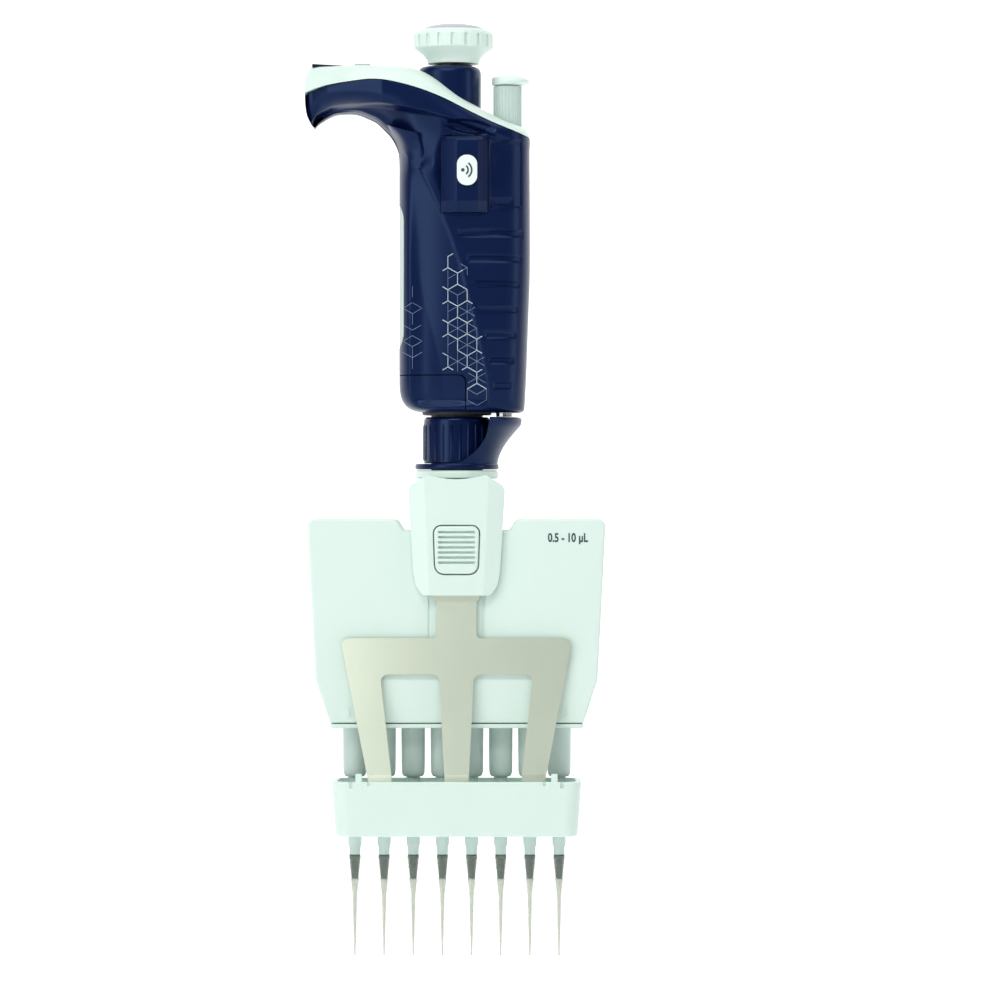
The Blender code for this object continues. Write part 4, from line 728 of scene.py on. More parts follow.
def tower_hole():
    """Room in the cover and the shells for the tower."""
    ring = oval(TOWER_X, 0, 9.7 + GAP, 10.4 + GAP, 0, 48, 2.2)
    return prism([p[:2] for p in ring], Z_TOWER_LOW - GAP, Z_TOWER_TOP + 20, "Z")


def stem_hole():
    """Room for the ejector's stem."""
    return rod(4.7, extent("ejector_stem", 2)[0] - 7.4, Z_TOWER_TOP + 9, 32, BUTTON_X)


def carry(obj, body, slot_name, *nodes):
    """Rides on a body and stands for CAD nodes; the slot name is not used."""
    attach(obj, body)
    if nodes:
        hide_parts(*nodes)


def fit(obj, look, sharp, body, slot_name, *nodes):
    """Dresses a finished piece and carries it."""
    dress(obj, look, sharp)
    carry(obj, body, slot_name, *nodes)


def make_handle():
    """Two shells, the pale cover over them and the battery cap cut out of the front shell."""
    front = build("handle_front_shell", *shell_half(-1, 0.45, 130, front_carving))
    rear = build("handle_rear_shell", *shell_half(1, 1.1, 56))
    trim_front = build("trim_front", *shell_half(-1, 0.8, 72, trim_facets))
    trim_rear = twin(rear, "trim_rear")
    low, top = Z_BODY - 4, Z_BODY + 3.5
    for obj in (front, rear):
        cut(obj, over_trim_line(-GAP / 2))
        cut(obj, hollow())
        boolean(obj, cut(build("strip_pocket", *palm_region(GAP)), loft(core(1.6))))
        for hole in (tower_hole(), stem_hole(), rod(11.2, low, top), rod(2.9, low, top, 32, ROD_X)):
            cut(obj, hole)
    (left, _, foot), (right, _, head) = corners("wireless_module")
    gap = 0.12  # the module is pressed in, closer than the other pieces
    cut(front, box((left - gap, -40, foot - gap), (right + gap, -12.1, head + gap)))
    door = twin(front, "battery_cap")
    inside(door, door_region(0.0))
    cut(front, door_region(GAP))
    for obj in (trim_front, trim_rear):
        inside(obj, over_trim_line(GAP / 2))
        for hole in (hollow(), tower_hole(), stem_hole()):
            cut(obj, hole)
        for node in ("display_window", "key_left", "key_right"):
            (x0, y0, z0), (x1, y1, z1) = corners(node)
            cut(obj, box((x0 - GAP, y0 - GAP, z0 - 2 * GAP), (x1 + GAP, y1 + GAP, z1 + 10)))
        # the two halves of the cover have no parting line on the real one, so they meet exactly
        for vertex in obj.data.vertices:
            if abs(vertex.co.y) < 0.3 * MM:
                vertex.co.y = 0.0
    trim = merged([trim_front, trim_rear], "top_cover")
    weld(trim)
    for obj, look, body, slot_name, node in (
        (front, NAVY, "handle", "navy_shell", "handle_front"),
        (rear, NAVY, "handle", "navy_shell", "handle_rear"),
        (door, NAVY, "door", "navy_shell", "battery_door"),
        (trim, WHITE, "handle", "white_shell", "top_trim"),
    ):
        fit(obj, look, 30, body, slot_name, node)
    return front


def core(depth, first=0, last=12, count=40, forward=None):
    """The handle's form drawn in by a depth, as a plain solid."""
    rings = []
    for i, (lx, lz, rx, rz, front, rear, square) in enumerate(inset(depth, first, last)):
        front -= forward(i) if forward else 0.0
        rings.append([((lx + rx) / 2 + x * (rx - lx) / 2, y * (rear if y > 0 else front),
                       (lz + rz) / 2 + x * (rz - lz) / 2)
                      for x, y, _ in oval(0, 0, 1, 1, 0, count, square)])
    return rings


def weld(obj):
    """Joins halves that meet on the middle plane, and takes the wall between them out."""
    work = bmesh.new()
    work.from_mesh(obj.data)
    middle = [f for f in work.faces if all(abs(v.co.y) < 1e-6 for v in f.verts)]
    bmesh.ops.delete(work, geom=middle, context="FACES")
    bmesh.ops.remove_doubles(work, verts=work.verts, dist=2e-5)
    work.to_mesh(obj.data)
    work.free()


def make_palm_strip():
    """Soft strip let into the palm side: its ends are rounded and it stands a hair proud."""
    strip = inside(build("palm_strip", *loft(core(0.0))), palm_region(0.0))
    cut(strip, loft(core(1.3)))
    fit(strip, PALM, 30, "handle", "grip_pad", "side_insert")


def make_display():
    """Dark glass let into the cover, and the two soft keys beside it."""
    window = build("display_glass", *box(*corners("display_window")))
    # the end beside the keys sinks into the cover, and the end over the hook's tip stands proud
    sink = 0.0006
    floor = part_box("display_window")[0].z
    for vertex in window.data.vertices:
        if vertex.co.x > -0.040 and vertex.co.z > floor + sink:
            vertex.co.z -= sink
    soften(window, 0.4, 4)
    fit(window, GLASS, 38, "handle", "dark_window", "display_window")
    for side in ("left", "right"):
        key = soften(build(f"soft_key_{side}", *box(*corners(f"key_{side}"))), 0.9, 5)
        fit(key, SOFT, 38, f"{side}_key", "soft_grey", f"key_{side}")


def make_module():
    """Faceted box with a chamfered foot; its arrises are softened."""
    (left, _, foot), (right, back, top) = corners("wireless_module")

    def ring(z, stand):
        facets = ((right, 0.6), (right - 1.4, 2.0), (right - 3.0, 4.0), (left + 4.8, 4.0),
                  (left + 1.8, 2.2), (left, 0.6))
        return [(left, back, z), (right, back, z),
                *((x, -15.0 - out * stand, z) for x, out in facets)]

    module = build("radio_module", *loft([ring(foot, 0.45), ring(foot + 3.4, 1.0),
                                          ring(top - 1.2, 1.0), ring(top, 0.6)]))
    soften(module, 0.25, 3, 12)
    fit(module, NAVY, 60, "handle", "navy_shell", "wireless_module")

    (left, face, foot), (right, back, top) = corners("module_label")
    label = build("pill_label", *prism(plate(left, right, foot, top, 2.9, 12), face + 0.08, back))
    soften(label, 0.15, 3)
    # a dot with two rising arcs, as on any wireless product, in dark ink
    x, z, y = (left + right) / 2 - 1.3, (foot + top) / 2, face + 0.02

    def bend(radius, angles):
        return [(x + radius * math.cos(a), z + radius * math.sin(a)) for a in angles]

    inks = [build("dot", *prism(bend(0.55, np.linspace(0, 2 * math.pi, 24, endpoint=False)),
                                y, y + 0.1), DARK_INK)]
    angles = np.linspace(-0.9, 0.9, 16)
    for radius in (1.6, 2.7):
        outline = bend(radius + 0.26, angles) + bend(radius - 0.26, angles[::-1])
        inks.append(build("arc", *prism(outline, y, y + 0.1), DARK_INK))
    fit(label, FILM, 38, "handle", "white_shell", "module_label")
    carry(merged(inks, "wave_print"), "handle", "black_part")


HANDLE_FRONT = make_handle()
make_palm_strip()
make_display()
make_module()


# ---- patterns made with geometry nodes
def pattern_tree(name, sockets, wire):
    """A geometry tree with named inputs; wire fills it and gives the geometry to put out."""
    tree = bpy.data.node_groups.new(name, "GeometryNodeTree")
    tree.interface.new_socket("Geometry", in_out="INPUT", socket_type="NodeSocketGeometry")
    tree.interface.new_socket("Geometry", in_out="OUTPUT", socket_type="NodeSocketGeometry")
    for label, kind in (*sockets, ("Look", "NodeSocketMaterial")):
        tree.interface.new_socket(label, in_out="INPUT", socket_type=kind)
    source = add(tree, "NodeGroupInput").outputs
    real = add(tree, "GeometryNodeRealizeInstances", {"Geometry": wire(tree, source)})
    painted = add(tree, "GeometryNodeSetMaterial",
                  {"Geometry": real.outputs[0], "Material": source["Look"]})
    add(tree, "NodeGroupOutput", {0: painted.outputs[0]})
    return tree


def around(tree, source):
    """Copies of a shape turned about an upright axis."""
    line = add(tree, "GeometryNodeMeshLine", {"Count": source["Count"],
               "Start Location": source["Centre"], "Offset": (0.0, 0.0, 0.0)})
    share = add(tree, "ShaderNodeMath", {0: add(tree, "GeometryNodeInputIndex").outputs[0],
                1: source["Count"]}, operation="DIVIDE")
    turn = add(tree, "ShaderNodeMath", {0: share.outputs[0], 1: 2 * math.pi,
               2: source["Start"]}, operation="MULTIPLY_ADD")
    angle = add(tree, "ShaderNodeCombineXYZ", {"Z": turn.outputs[0]})
    return add(tree, "GeometryNodeInstanceOnPoints", {
        "Points": line.outputs[0], "Instance": source["Geometry"],
        "Rotation": angle.outputs[0]}).outputs[0]


def in_a_row(tree, source):
    """Copies of a shape at an even step."""
    line = add(tree, "GeometryNodeMeshLine", {"Count": source["Count"],
               "Start Location": (0.0, 0.0, 0.0), "Offset": source["Step"]})
    return add(tree, "GeometryNodeInstanceOnPoints", {
        "Points": line.outputs[0], "Instance": source["Geometry"]}).outputs[0]


def as_lines(tree, source):
    """Round beads along the edges of a net."""
    curve = add(tree, "GeometryNodeMeshToCurve", {"Mesh": source["Geometry"]})
    bead = add(tree, "GeometryNodeCurvePrimitiveCircle",
               {"Resolution": 6, "Radius": source["Bead"]})
    return add(tree, "GeometryNodeCurveToMesh", {"Curve": curve.outputs[0],
               "Profile Curve": bead.outputs[0], "Fill Caps": True}).outputs[0]


AROUND = pattern_tree("copies_around", (("Count", "NodeSocketInt"),
                      ("Centre", "NodeSocketVector"), ("Start", "NodeSocketFloat")), around)
ROW = pattern_tree("copies_in_a_row", (("Count", "NodeSocketInt"),
                   ("Step", "NodeSocketVector")), in_a_row)
LINES = pattern_tree("beads_on_edges", (("Bead", "NodeSocketFloat"),), as_lines)


def patterned(obj, tree, look, **values):
    """The tree worked out on this shape and turned into a plain mesh."""
    modifier = obj.modifiers.new(tree.name, "NODES")
    modifier.node_group = tree
    for item in tree.interface.items_tree:
        if item.in_out == "INPUT" and item.name in values:
            modifier[item.identifier] = values[item.name]
        elif item.in_out == "INPUT" and item.name == "Look":
            modifier[item.identifier] = look
    obj.update_tag()
    baked(obj, modifier)
    return dress(obj, look)


# ---- knob, tower and ejector button
def make_knob():
    """Round tower, notched grip ring and domed push cap."""
    top = Z_TOWER_TOP
    rings = [oval(TOWER_X, 0, 9.7 - a, 10.4 - a, z, 72, 2.2) for z, a in (
        (Z_TOWER_LOW, 0.0), (top - 2.2, 0.0), (top - 1.3, 0.12), (top - 0.7, 0.4),
        (top - 0.25, 0.85), (top - 0.03, 1.4), (top, 1.9))]
    tower = build("knob_tower", *loft(rings))
    floor = Z_TOWER_LOW + 2.0
    cut(tower, turned([(0, Z_TOWER_LOW - 2), (3.4, Z_TOWER_LOW - 2), (3.4, floor), (7.0, floor),
                       (7.0, top - 2.0), (6.1, top - 2.0), (6.1, top + 3), (0, top + 3)], 48,
                      KNOB_X))
    fit(tower, NAVY, 35, "handle", "navy_shell", "tower")

    z, r = extent("knob_ring", 2)[0], 12.15
    skirt = [(7.85, z), (7.95, z + 0.25)]
    skirt += [(7.95 + 3.6 * (t / 10) ** 1.9, z + 0.25 + 4.2 * t / 10) for t in range(1, 11)]
    profile = [(3.1, z), *skirt, (r - 0.25, z + 4.75), (r, z + 5.2), (r, z + 8.7),
               (r - 0.1, z + 9.2), (r - 0.45, z + 9.75), (r - 0.95, z + 10.15),
               (r - 1.6, z + 10.4), (r - 1.95, z + 10.4), (r - 2.05, z + 10.2),
               (r - 2.05, z + 7.8), (3.1, z + 7.8)]
    ring = build("grip_ring", *turned(profile, 144, KNOB_X))
    notch = build("notch", *prism(plate(-0.55, 0.55, z + 4.95, z + 8.75, 0.5, 4),
                                  r - 0.55, r + 2, "X"))
    # the notch was drawn at the origin along X, and the tree turns it about the knob's axis
    patterned(notch, AROUND, WHITE, Count=18, Centre=(KNOB_X * MM, 0.0, 0.0), Start=0.17)
    boolean(ring, notch)
    fit(ring, WHITE, 35, "knob", "white_shell", "knob_ring")

    d = r - 2.35
    profile = [(0, z + 8.1), (d, z + 8.1), (d, z + 10.1)]
    profile += [(d * math.cos(a), z + 10.1 + 2.3 * math.sin(a))
                for a in [math.radians(9 * i) for i in range(1, 10)]]
    profile += [(0, z + 12.4)]
    dome = build("push_dome", *turned(profile, 96, KNOB_X))
    fit(dome, DOME, 45, "knob", "dome_grey", "knob_dome")


def make_button():
    """Thumb cap of the ejector on its ribbed stem."""
    low, high = extent("ejector_stem", 2)
    z, x, r = high + GAP, BUTTON_X, 4.4
    rings = ((0.1, 0.3, 0.3, 0.0), (0.3, 0.75, 0.6, 0.15), (0.85, 1.3, 0.9, 0.6),
             (1.05, 1.55, 1.0, 1.1), (1.0, 1.5, 0.97, 1.4), (0.75, 1.2, 0.8, 1.9),
             (0.35, 0.7, 0.5, 2.35), (0.2, 0.2, 0.1, 2.6), (0.15, -1.2, -1.2, 2.66))
    cap = build("thumb_cap", *loft([oval(x + aside, 0, r + wide, r + deep, z + up, 72)
                                    for aside, wide, deep, up in rings]))
    fit(cap, WHITE, 50, "ejector_upper", "white_shell", "ejector_cap")
    stem = build("button_stem", *rod(r - 0.25, low, high, 72, x), GREY)
    rib = build("stem_rib", *prism(rounded([(r - 0.6, -0.22, 0.1), (r - 0.02, -0.16, 0.12),
                                            (r - 0.02, 0.16, 0.12), (r - 0.6, 0.22, 0.1)], 3),
                                   low + 0.2, high - 0.05, "Z"))
    patterned(rib, AROUND, GREY, Count=28, Centre=(x * MM, 0.0, 0.0), Start=0.05)
    carry(merged([stem, rib], "button_stem"), "ejector_upper", "grey_part", "ejector_stem")


def make_arm():
    """Flared shell of the ejector, cut away in a sweep so that the nut can be reached."""
    low, high = extent("ejector_arm", 2)
    ring_top, r, top_r, inner = low + 1.6, 12.9, ROD_X + 5.4, 11.3
    reach = top_r - r
    outer = eased([(r, low + 0.5), (r - 0.1, low + 1.3), (r - 0.35, low + 1.9), (r, low + 3.6),
                   (r + 0.12 * reach, low + 5.7), (r + 0.33 * reach, low + 8.2),
                   (r + 0.64 * reach, low + 11.0), (r + 0.93 * reach, low + 13.4),
                   (top_r - 0.05, high - 1.1), (top_r - 0.12, high - 0.4)], 5)
    profile = [(r - 0.55, low), (r - 0.2, low + 0.12), *outer, (top_r - 0.5, high - 0.05),
               (top_r - 0.9, high), (inner, high), (inner, high - 1.7), (top_r - 2.6, high - 1.7),
               (r + 0.60 * reach - 1.4, low + 12.3), (r + 0.30 * reach - 1.4, low + 9.3),
               (r + 0.08 * reach - 1.4, low + 6.0), (inner, ring_top), (8.7, ring_top), (8.7, low)]
    arm = build("ejector_shell", *turned(profile, 160))
    sweep = eased([(ROD_X - 4.3, high + 1.0), (ROD_X - 5.1, high - 4.0),
                   (ROD_X - 6.2, high - 7.0), (ROD_X - 8.4, high - 10.0),
                   (ROD_X - 11.7, high - 12.7), (0.2, ring_top + 0.4), (-2.6, ring_top + 0.1)], 8)
    cut(arm, prism([*sweep, (-40.0, ring_top + 0.1), (-40.0, high + 6.0),
                    (ROD_X - 4.3, high + 6.0)], -40, 40))
    fit(arm, NAVY, 32, "ejector_upper", "navy_shell", "ejector_arm")


# ---- nut, collar, hood and latch
def make_neck():
    """Ribbed coupling nut and the round collar under it."""
    (low, high), r = extent("coupling_nut", 2), 10.5
    nut = build("ribbed_nut", *turned([
        (NUT_BORE, low), (r - 0.45, low), (r - 0.3, low + 0.4), (r - 0.3, high - 1.4),
        (r - 0.4, high - 0.7), (r - 0.75, high - 0.2), (r - 1.2, high),
        (NUT_BORE, high)], 120),
                NAVY_GLOSS, 35)
    rib = build("nut_rib", *loft([[(r - 0.9, -0.55, z), (r - a, -0.42, z), (r - a + 0.22, -0.15, z),
                                   (r - a + 0.22, 0.15, z), (r - a, 0.42, z), (r - 0.9, 0.55, z)]
                                  for z, a in ((low + 0.6, 0.5), (low + 1.1, 0.24),
                                               (high - 3.0, 0.24), (high - 1.8, 0.55))]))
    patterned(rib, AROUND, NAVY_GLOSS, Count=24, Centre=(0.0, 0.0, 0.0), Start=0.1)
    carry(merged([nut, rib], "ribbed_nut"), "nut", "navy_shell", "coupling_nut")

    low, high = extent("collar", 2)
    # the CAD's collar has flats, and this one is round
    r = extent("collar", 0)[1] / math.cos(math.pi / 32)
    collar = build("hood_collar", *turned([
        (COLLAR_BORE, low), (r - 0.4, low), (r, low + 0.3), (r, high - 0.9),
        (r - 0.12, high - 0.4), (r - 0.45, high - 0.1), (r - 0.9, high), (COLLAR_BORE, high)], 128))
    fit(collar, WHITE, 40, "ejector_lower", "white_shell", "collar")


def latch_shape(grow):
    """Outline of the release button, a little wider at its top."""
    low, high = Z_HOOD_LOW + 6.6 - grow, Z_HOOD_LOW + 21.2 + grow
    return rounded([(-6.45 - grow, low, 2.8 + grow), (6.45 + grow, low, 2.8 + grow),
                    (6.95 + grow, high, 2.2 + grow), (-6.95 - grow, high, 2.2 + grow)], 8)


def make_hood():
    """Faceted hood with its pocket and slots, and the grooved release button in it."""
    low, top, mid, half, back = Z_HOOD_LOW, Z_HOOD_TOP, Z_HOUSING_TOP, 14.8, -13.4
    right = [(half - 4.4, low, 1.6), (half - 2.3, low + 3.0, 2.0), (half - 1.5, low + 7.5, 0),
             (half - 0.7, mid - 2.8, 0), (half, mid + 8.9, 0.9), (half - 0.6, mid + 10.3, 0.9),
             (half - 5.8, top + 1.3, 0.4)]
    outline = rounded(mirrored(right), 5)
    peak = next(i for i, p in enumerate(outline) if p[0] < 0)
    outline[peak:peak] = [(6.0, top + 0.62), (3.0, top + 0.15), (0.0, top), (-3.0, top + 0.15),
                          (-6.0, top + 0.62)]
    hood = build("hood", *prism(outline, HOOD_FRONT, 13.2))
    for side in (-1, 1):
        # the cheeks lean back from two upright arrises that spread a little towards the top
        cut(hood, loft([[(side * x, HOOD_FRONT - 0.01, z), (side * (x + 12), HOOD_FRONT - 6.0, z),
                         (side * (x + 12), HOOD_FRONT + 4.6, z)]
                        for x, z in ((7.6, low - 3), (9.3, top + 4))]))
        # and the middle falls away from a shallow ridge
        cut(hood, loft([[(side * -0.9, HOOD_FRONT - 0.02, z), (side * 12, HOOD_FRONT - 3.0, z),
                         (side * 12, HOOD_FRONT + 0.32, z)] for z in (low - 3, top + 4)]))
    soften(hood, 0.45, 3, 9)
    skirt = Z_SHELF + 6.4 + 0.6
    for shape in (box((-40, back, low - 10), (40, 40, skirt)),
                  box((-40, back, top), (40, 40, top + 10)),
                  box((-13.0, -11.6, skirt - 20), (13.0, 11.6, top - 1.6)),
                  rod(COLLAR_BORE, low, top + 5, 64),
                  prism(latch_shape(0.4), HOOD_FRONT - 5, HOOD_FRONT + 2.6),
                  box((-7.3, FORK_FRONT - GAP, low - 5), (7.3, 5, low + 4.9))):
        cut(hood, shape)
    fit(hood, WHITE, 25, "ejector_lower", "white_shell", "ejector_hood")

    latch = build("latch", *prism(latch_shape(0.0), HOOD_FRONT - 0.35, HOOD_FRONT + 1.5))
    soften(latch, 0.55, 4)
    first = low + 9.7
    groove = build("latch_groove", *prism(plate(-5.6, 5.6, first, first + 0.74, 0.3, 4),
                                          HOOD_FRONT - 3, HOOD_FRONT + 0.85))
    patterned(groove, ROW, WHITE, Count=7, Step=(0.0, 0.0, 1.55 * MM))
    boolean(latch, groove)
    fit(latch, WHITE, 30, "latch", "white_shell", "latch_button")


# ---- manifold
def housing_depth(z):
    """Half the manifold's depth at a level: it draws in below the knee."""
    full = HOUSING_Y - 0.5
    if z < KNEE:
        return FOOT_DEPTH + (full - FOOT_DEPTH) * max((z - Z_HOUSING_LOW) / KNEE_HEIGHT, 0.0)
    return full + 0.5 * min((z - KNEE) / (Z_HOUSING_TOP - KNEE), 1.0)


def housing_outline(inset_by, drop=0.0):
    """Front outline of the manifold; the one for its hollow drops through the foot."""
    s = SPAN / 2
    right = [(FOOT_HALF - inset_by, Z_HOUSING_LOW - drop, 0 if drop else 0.8),
             (s + 11.7 - inset_by, KNEE, 0 if drop else 6.0),
             (s + 14.2 - inset_by, Z_HOUSING_TOP - inset_by, 2.2),
             (18.3 + inset_by, Z_HOUSING_TOP - inset_by, 2.0),
             (16.3 + inset_by, Z_SHELF - inset_by, 1.2)]
    return rounded(mirrored(right), 8 if not drop else 1)


def draw_in(obj):
    """Brings the depth in towards the foot, in faces that stay flat."""
    work = bmesh.new()
    work.from_mesh(obj.data)
    for level in (Z_HOUSING_LOW, KNEE):
        bmesh.ops.bisect_plane(work, geom=[*work.verts, *work.edges, *work.faces], dist=1e-7,
                               plane_co=(0, 0, level * MM), plane_no=(0, 0, 1))
    work.to_mesh(obj.data)
    work.free()
    for vertex in obj.data.vertices:
        vertex.co.y *= housing_depth(vertex.co.z / MM) / HOUSING_Y


def drill_channels(obj, radius, low, high, sides):
    """One upright hole for each channel."""
    hole = build("channel_hole", *rod(radius, low, high, sides, CHANNELS[0]))
    patterned(hole, ROW, WHITE, Count=8, Step=((CHANNELS[1] - CHANNELS[0]) * MM, 0.0, 0.0))
    boolean(obj, hole)


def make_housing():
    """The manifold: two half shells with a boss on top, and the base plate with its holes."""
    whole = build("housing", *prism(housing_outline(0.0), -HOUSING_Y, HOUSING_Y))
    soften(whole, 1.7, 6)
    draw_in(whole)
    cut(whole, prism([(-60, 20), (60, 20), (60, Z_HOUSING_LOW), (-60, Z_HOUSING_LOW)], -30, 30))
    for x in (-8.3, 8.3):
        # a pair of shallow upright flutes beside the fork's stem
        cut(whole, prism(plate(x - 0.5, x + 0.5, 98.0, 118.0, 0.45, 4), -20, -HOUSING_Y + 0.75))
    joined = build("boss", *prism(plate(-12.4, 12.4, -11, 11, 4, 8), Z_SHELF - 1.2, Z_BOSS, "Z"))
    soften(joined, 0.6, 3)
    boolean(whole, joined, "UNION")
    hollow_form = build("housing_hollow", *prism(housing_outline(2.0, 6.0), 2.0 - HOUSING_Y,
                                                 HOUSING_Y - 2.0))
    draw_in(hollow_form)
    boolean(whole, hollow_form)
    cut(whole, prism(plate(-10.4, 10.4, -9, 9, 3, 4), Z_SHELF - 8, Z_BOSS - 2.0, "Z"))
    cut(whole, rod(NUT_BORE, Z_SHELF, Z_BOSS + 3, 64))
    front, rear = twin(whole, "housing_front"), twin(whole, "housing_rear")
    inside(front, box((-90, -60, 0), (90, -0.08, 300)))
    inside(rear, box((-90, 0.08, 0), (90, 60, 300)))
    bpy.data.objects.remove(whole, do_unlink=True)
    fit(front, WHITE, 22, "manifold", "white_shell", "manifold_front")
    fit(rear, WHITE, 22, "manifold", "white_shell", "manifold_rear")

    low, high = extent("manifold_base", 2)
    base = build("base_plate", *prism(plate(-FOOT_HALF, FOOT_HALF, -FOOT_DEPTH, FOOT_DEPTH, 2.0, 8),
                                      low, high, "Z"))
    soften(base, 0.35, 3)
    drill_channels(base, 3.9, low - 3, high + 3, 48)
    fit(base, WHITE, 30, "manifold", "white_shell", "manifold_base")
    return front


def make_comb():
    """The open bar that pushes the tips off, with the clips that hold the fork."""
    top_half, low_half = SPAN / 2 + 6.7, SPAN / 2 + 5.7
    (front, rear), low, top = extent("ejector_comb", 1), Z_COMB_LOW, Z_COMB_TOP

    def ring(z, half, draw=0.0):
        x, radius = half - draw, max(5.0 - draw, 0.6)
        return [(a, b, z) for a, b in plate(-x, x, front + draw, rear - draw, radius, 12)]

    comb = build("comb", *loft([ring(*level) for level in (
        (low, low_half, 1.0), (low + 0.12, low_half, 0.6), (low + 0.4, low_half, 0.25),
        (low + 0.9, low_half, 0.05), (top - 0.8, top_half, 0.0), (top - 0.3, top_half, 0.1),
        (top - 0.05, top_half, 0.35), (top, top_half, 0.6))]))
    cut(comb, loft([ring(low + 2.0, low_half, 1.6), ring(top + 2, top_half, 1.6)]))
    drill_channels(comb, 2.5, low - 3, low + 6, 40)
    parts = [comb]
    for side in (-1, 1):
        # two slots, a tongue and a pin make each clip that holds the fork's outer foot
        for near, far, deep in ((31.7, 32.8, 1.9), (26.4, 27.4, 1.2)):
            a, b = sorted((side * near, side * far))
            cut(comb, box((a, front - 1, top - deep), (b, front + 1.4, top + 1)))
        a, b = sorted((side * 28.9, side * 30.9))
        tongue = build("tongue", *box((a, front + 0.35, top - 3), (b, front + 1.45, top + 2.5)))
        dress(soften(tongue, 0.35, 3), WHITE)
        pin = build("pin", *turned([(0, -0.2), (0.75, -0.2), (0.75, 0.1), (0.5, 0.35), (0, 0.4)],
                                   32))
        for vertex in pin.data.vertices:
            x, y, z = vertex.co
            vertex.co = (x + side * 28.0 * MM, (front + 0.2) * MM - z, y + (top - 1.9) * MM)
        parts += [tongue, dress(pin, WHITE)]
    dress(comb, WHITE, 25)
    carry(merged(parts, "comb"), "ejector_lower", "white_shell", "ejector_comb")


def make_fork():
    """One blade of sheet steel; each foot is folded forward into the comb."""
    bar_top = Z_HOOD_LOW - 13.1
    crotch, z = bar_top - 11.1, Z_COMB_TOP
    foot, head, stem = Z_COMB_LOW + 4.0, Z_HOOD_LOW + 4.6, 6.1
    right = [(3.2, foot, 0), (3.7, z, 0), (5.3, crotch, 2.2), (23.4, crotch, 2.2), (19.7, z, 0),
             (19.2, foot, 0), (25.8, foot, 0), (27.0, z, 0), (35.1, bar_top - 2.6, 0),
             (35.1, bar_top, 2.6), (stem, bar_top, 1.4), (stem, Z_HOOD_LOW - 1.5, 0.5),
             (stem + 0.9, Z_HOOD_LOW - 1.5, 0.4), (stem + 0.9, head, 0)]
    blade = build("fork_blade", *prism(rounded(mirrored(right), 8), FORK_FRONT, FORK_BACK))
    parts = [dress(soften(blade, 0.16, 2), FORK, 30)]
    fold = [(FORK_FRONT + out, z + up) for out, up in (
        (0.02, 2.1), (-0.16, 1.4), (-0.24, 0.5), (-0.24, -0.6), (0.3, -0.6), (0.3, 2.1))]
    for low, high in ((-3.55, 3.55), (19.95, 26.9), (-26.9, -19.95)):
        parts.append(build("foot_fold", *prism(fold, low, high, "X"), FORK, 50))
    carry(merged(parts, "fork_blade"), "ejector_lower", "fork_steel", "steel_fork")


def make_channels():
    """Eight barrels with their sealing cones, and eight tips."""
    flange, seat = extent("manifold_base", 2)[1] + GAP, Z_TIP - 7.4
    # low is where the tip's fins end
    top, foot, low = extent("nozzle_1", 2)[1], Z_BARREL_LOW, Z_TIP - 3.9
    barrel = [(1.08, top), (2.6, top), (2.6, flange + 1.6), (4.2, flange + 1.6), (4.2, flange),
              (3.72, flange), (3.62, foot + 2.6), (3.56, foot + 1.5), (3.4, foot + 0.8),
              (3.15, foot + 0.3), (2.8, foot), (2.1, foot), (2.1, Z_TIP + 3.6),
              (2.0, Z_TIP + 3.2), (1.78, Z_TIP + 2.6), (1.72, Z_TIP + 0.3), (0.5, Z_TIP + 0.3),
              (0.5, Z_TIP + 4.0), (1.08, Z_TIP + 5.0)]
    # the sealing cone has three beads
    cone = [(1.7, Z_TIP + 0.28), (1.7, Z_TIP - 0.2)]
    for i in range(3):
        z, r = Z_TIP - 0.9 - 1.5 * i, 1.62 - 0.15 * i
        cone += [(r, z + 0.55), (r + 0.1, z + 0.3), (r + 0.1, z), (r - 0.05, z - 0.3)]
    cone += [(1.12, seat + 1.2), (1.0, seat), (0.5, seat), (0.5, Z_TIP + 0.28)]
    # down the outside of the tip from its rim, and back up its bore
    profile = [(2.02, Z_TIP), (2.7, Z_TIP), (2.8, Z_TIP - 0.1), (2.8, Z_TIP - 0.4),
               (2.7, Z_TIP - 0.5), (2.32, Z_TIP - 0.55), (2.24, Z_TIP - 0.8), (2.2, low + 0.3),
               (2.1, low - 0.1), (1.95, low - 0.4), (1.36, seat + 0.3), (1.22, seat - 0.8),
               (0.84, 18.9), (0.7, 14.0), (0.6, 10.0), (0.45, 5.0), (0.3, 0.3), (0.26, 0.0),
               (0.14, 0.0), (0.2, 5.0), (0.34, 10.0), (0.5, 18.9), (1.0, seat - 0.6),
               (1.25, seat + 0.2), (1.95, Z_TIP - 1.0)]
    for n, x in enumerate(CHANNELS, 1):
        nozzle = build(f"barrel_{n}", *turned(barrel, 56, x), GREY, 35)
        sealing = build("cone", *turned(cone, 40, x), CONE, 40)
        carry(merged([nozzle, sealing], f"barrel_{n}"), "manifold", "grey_part", f"nozzle_{n}")

        tip = build(f"clear_tip_{n}", *turned(profile, 40, x), TIP, 40)
        fin = build("fin", *prism([(2.1, low - 0.2), (2.45, low), (2.68, low + 0.45),
                                   (2.68, Z_TIP - 0.6), (2.1, Z_TIP - 0.6)], -0.17, 0.17))
        patterned(fin, AROUND, TIP, Count=6, Centre=(x * MM, 0.0, 0.0), Start=0.0)
        tip = merged([tip, fin], f"clear_tip_{n}")
        tip.data.materials.append(CLEAR)
        for face in tip.data.polygons:
            if face.center.z > (seat + 0.6) * MM:
                face.material_index = 1
        carry(tip, "tips", "clear_tip", f"tip_{n}")


# ---- prints and figures
def skin(obj):
    """A search tree of a finished surface."""
    return BVHTree.FromObject(obj, bpy.context.evaluated_depsgraph_get())


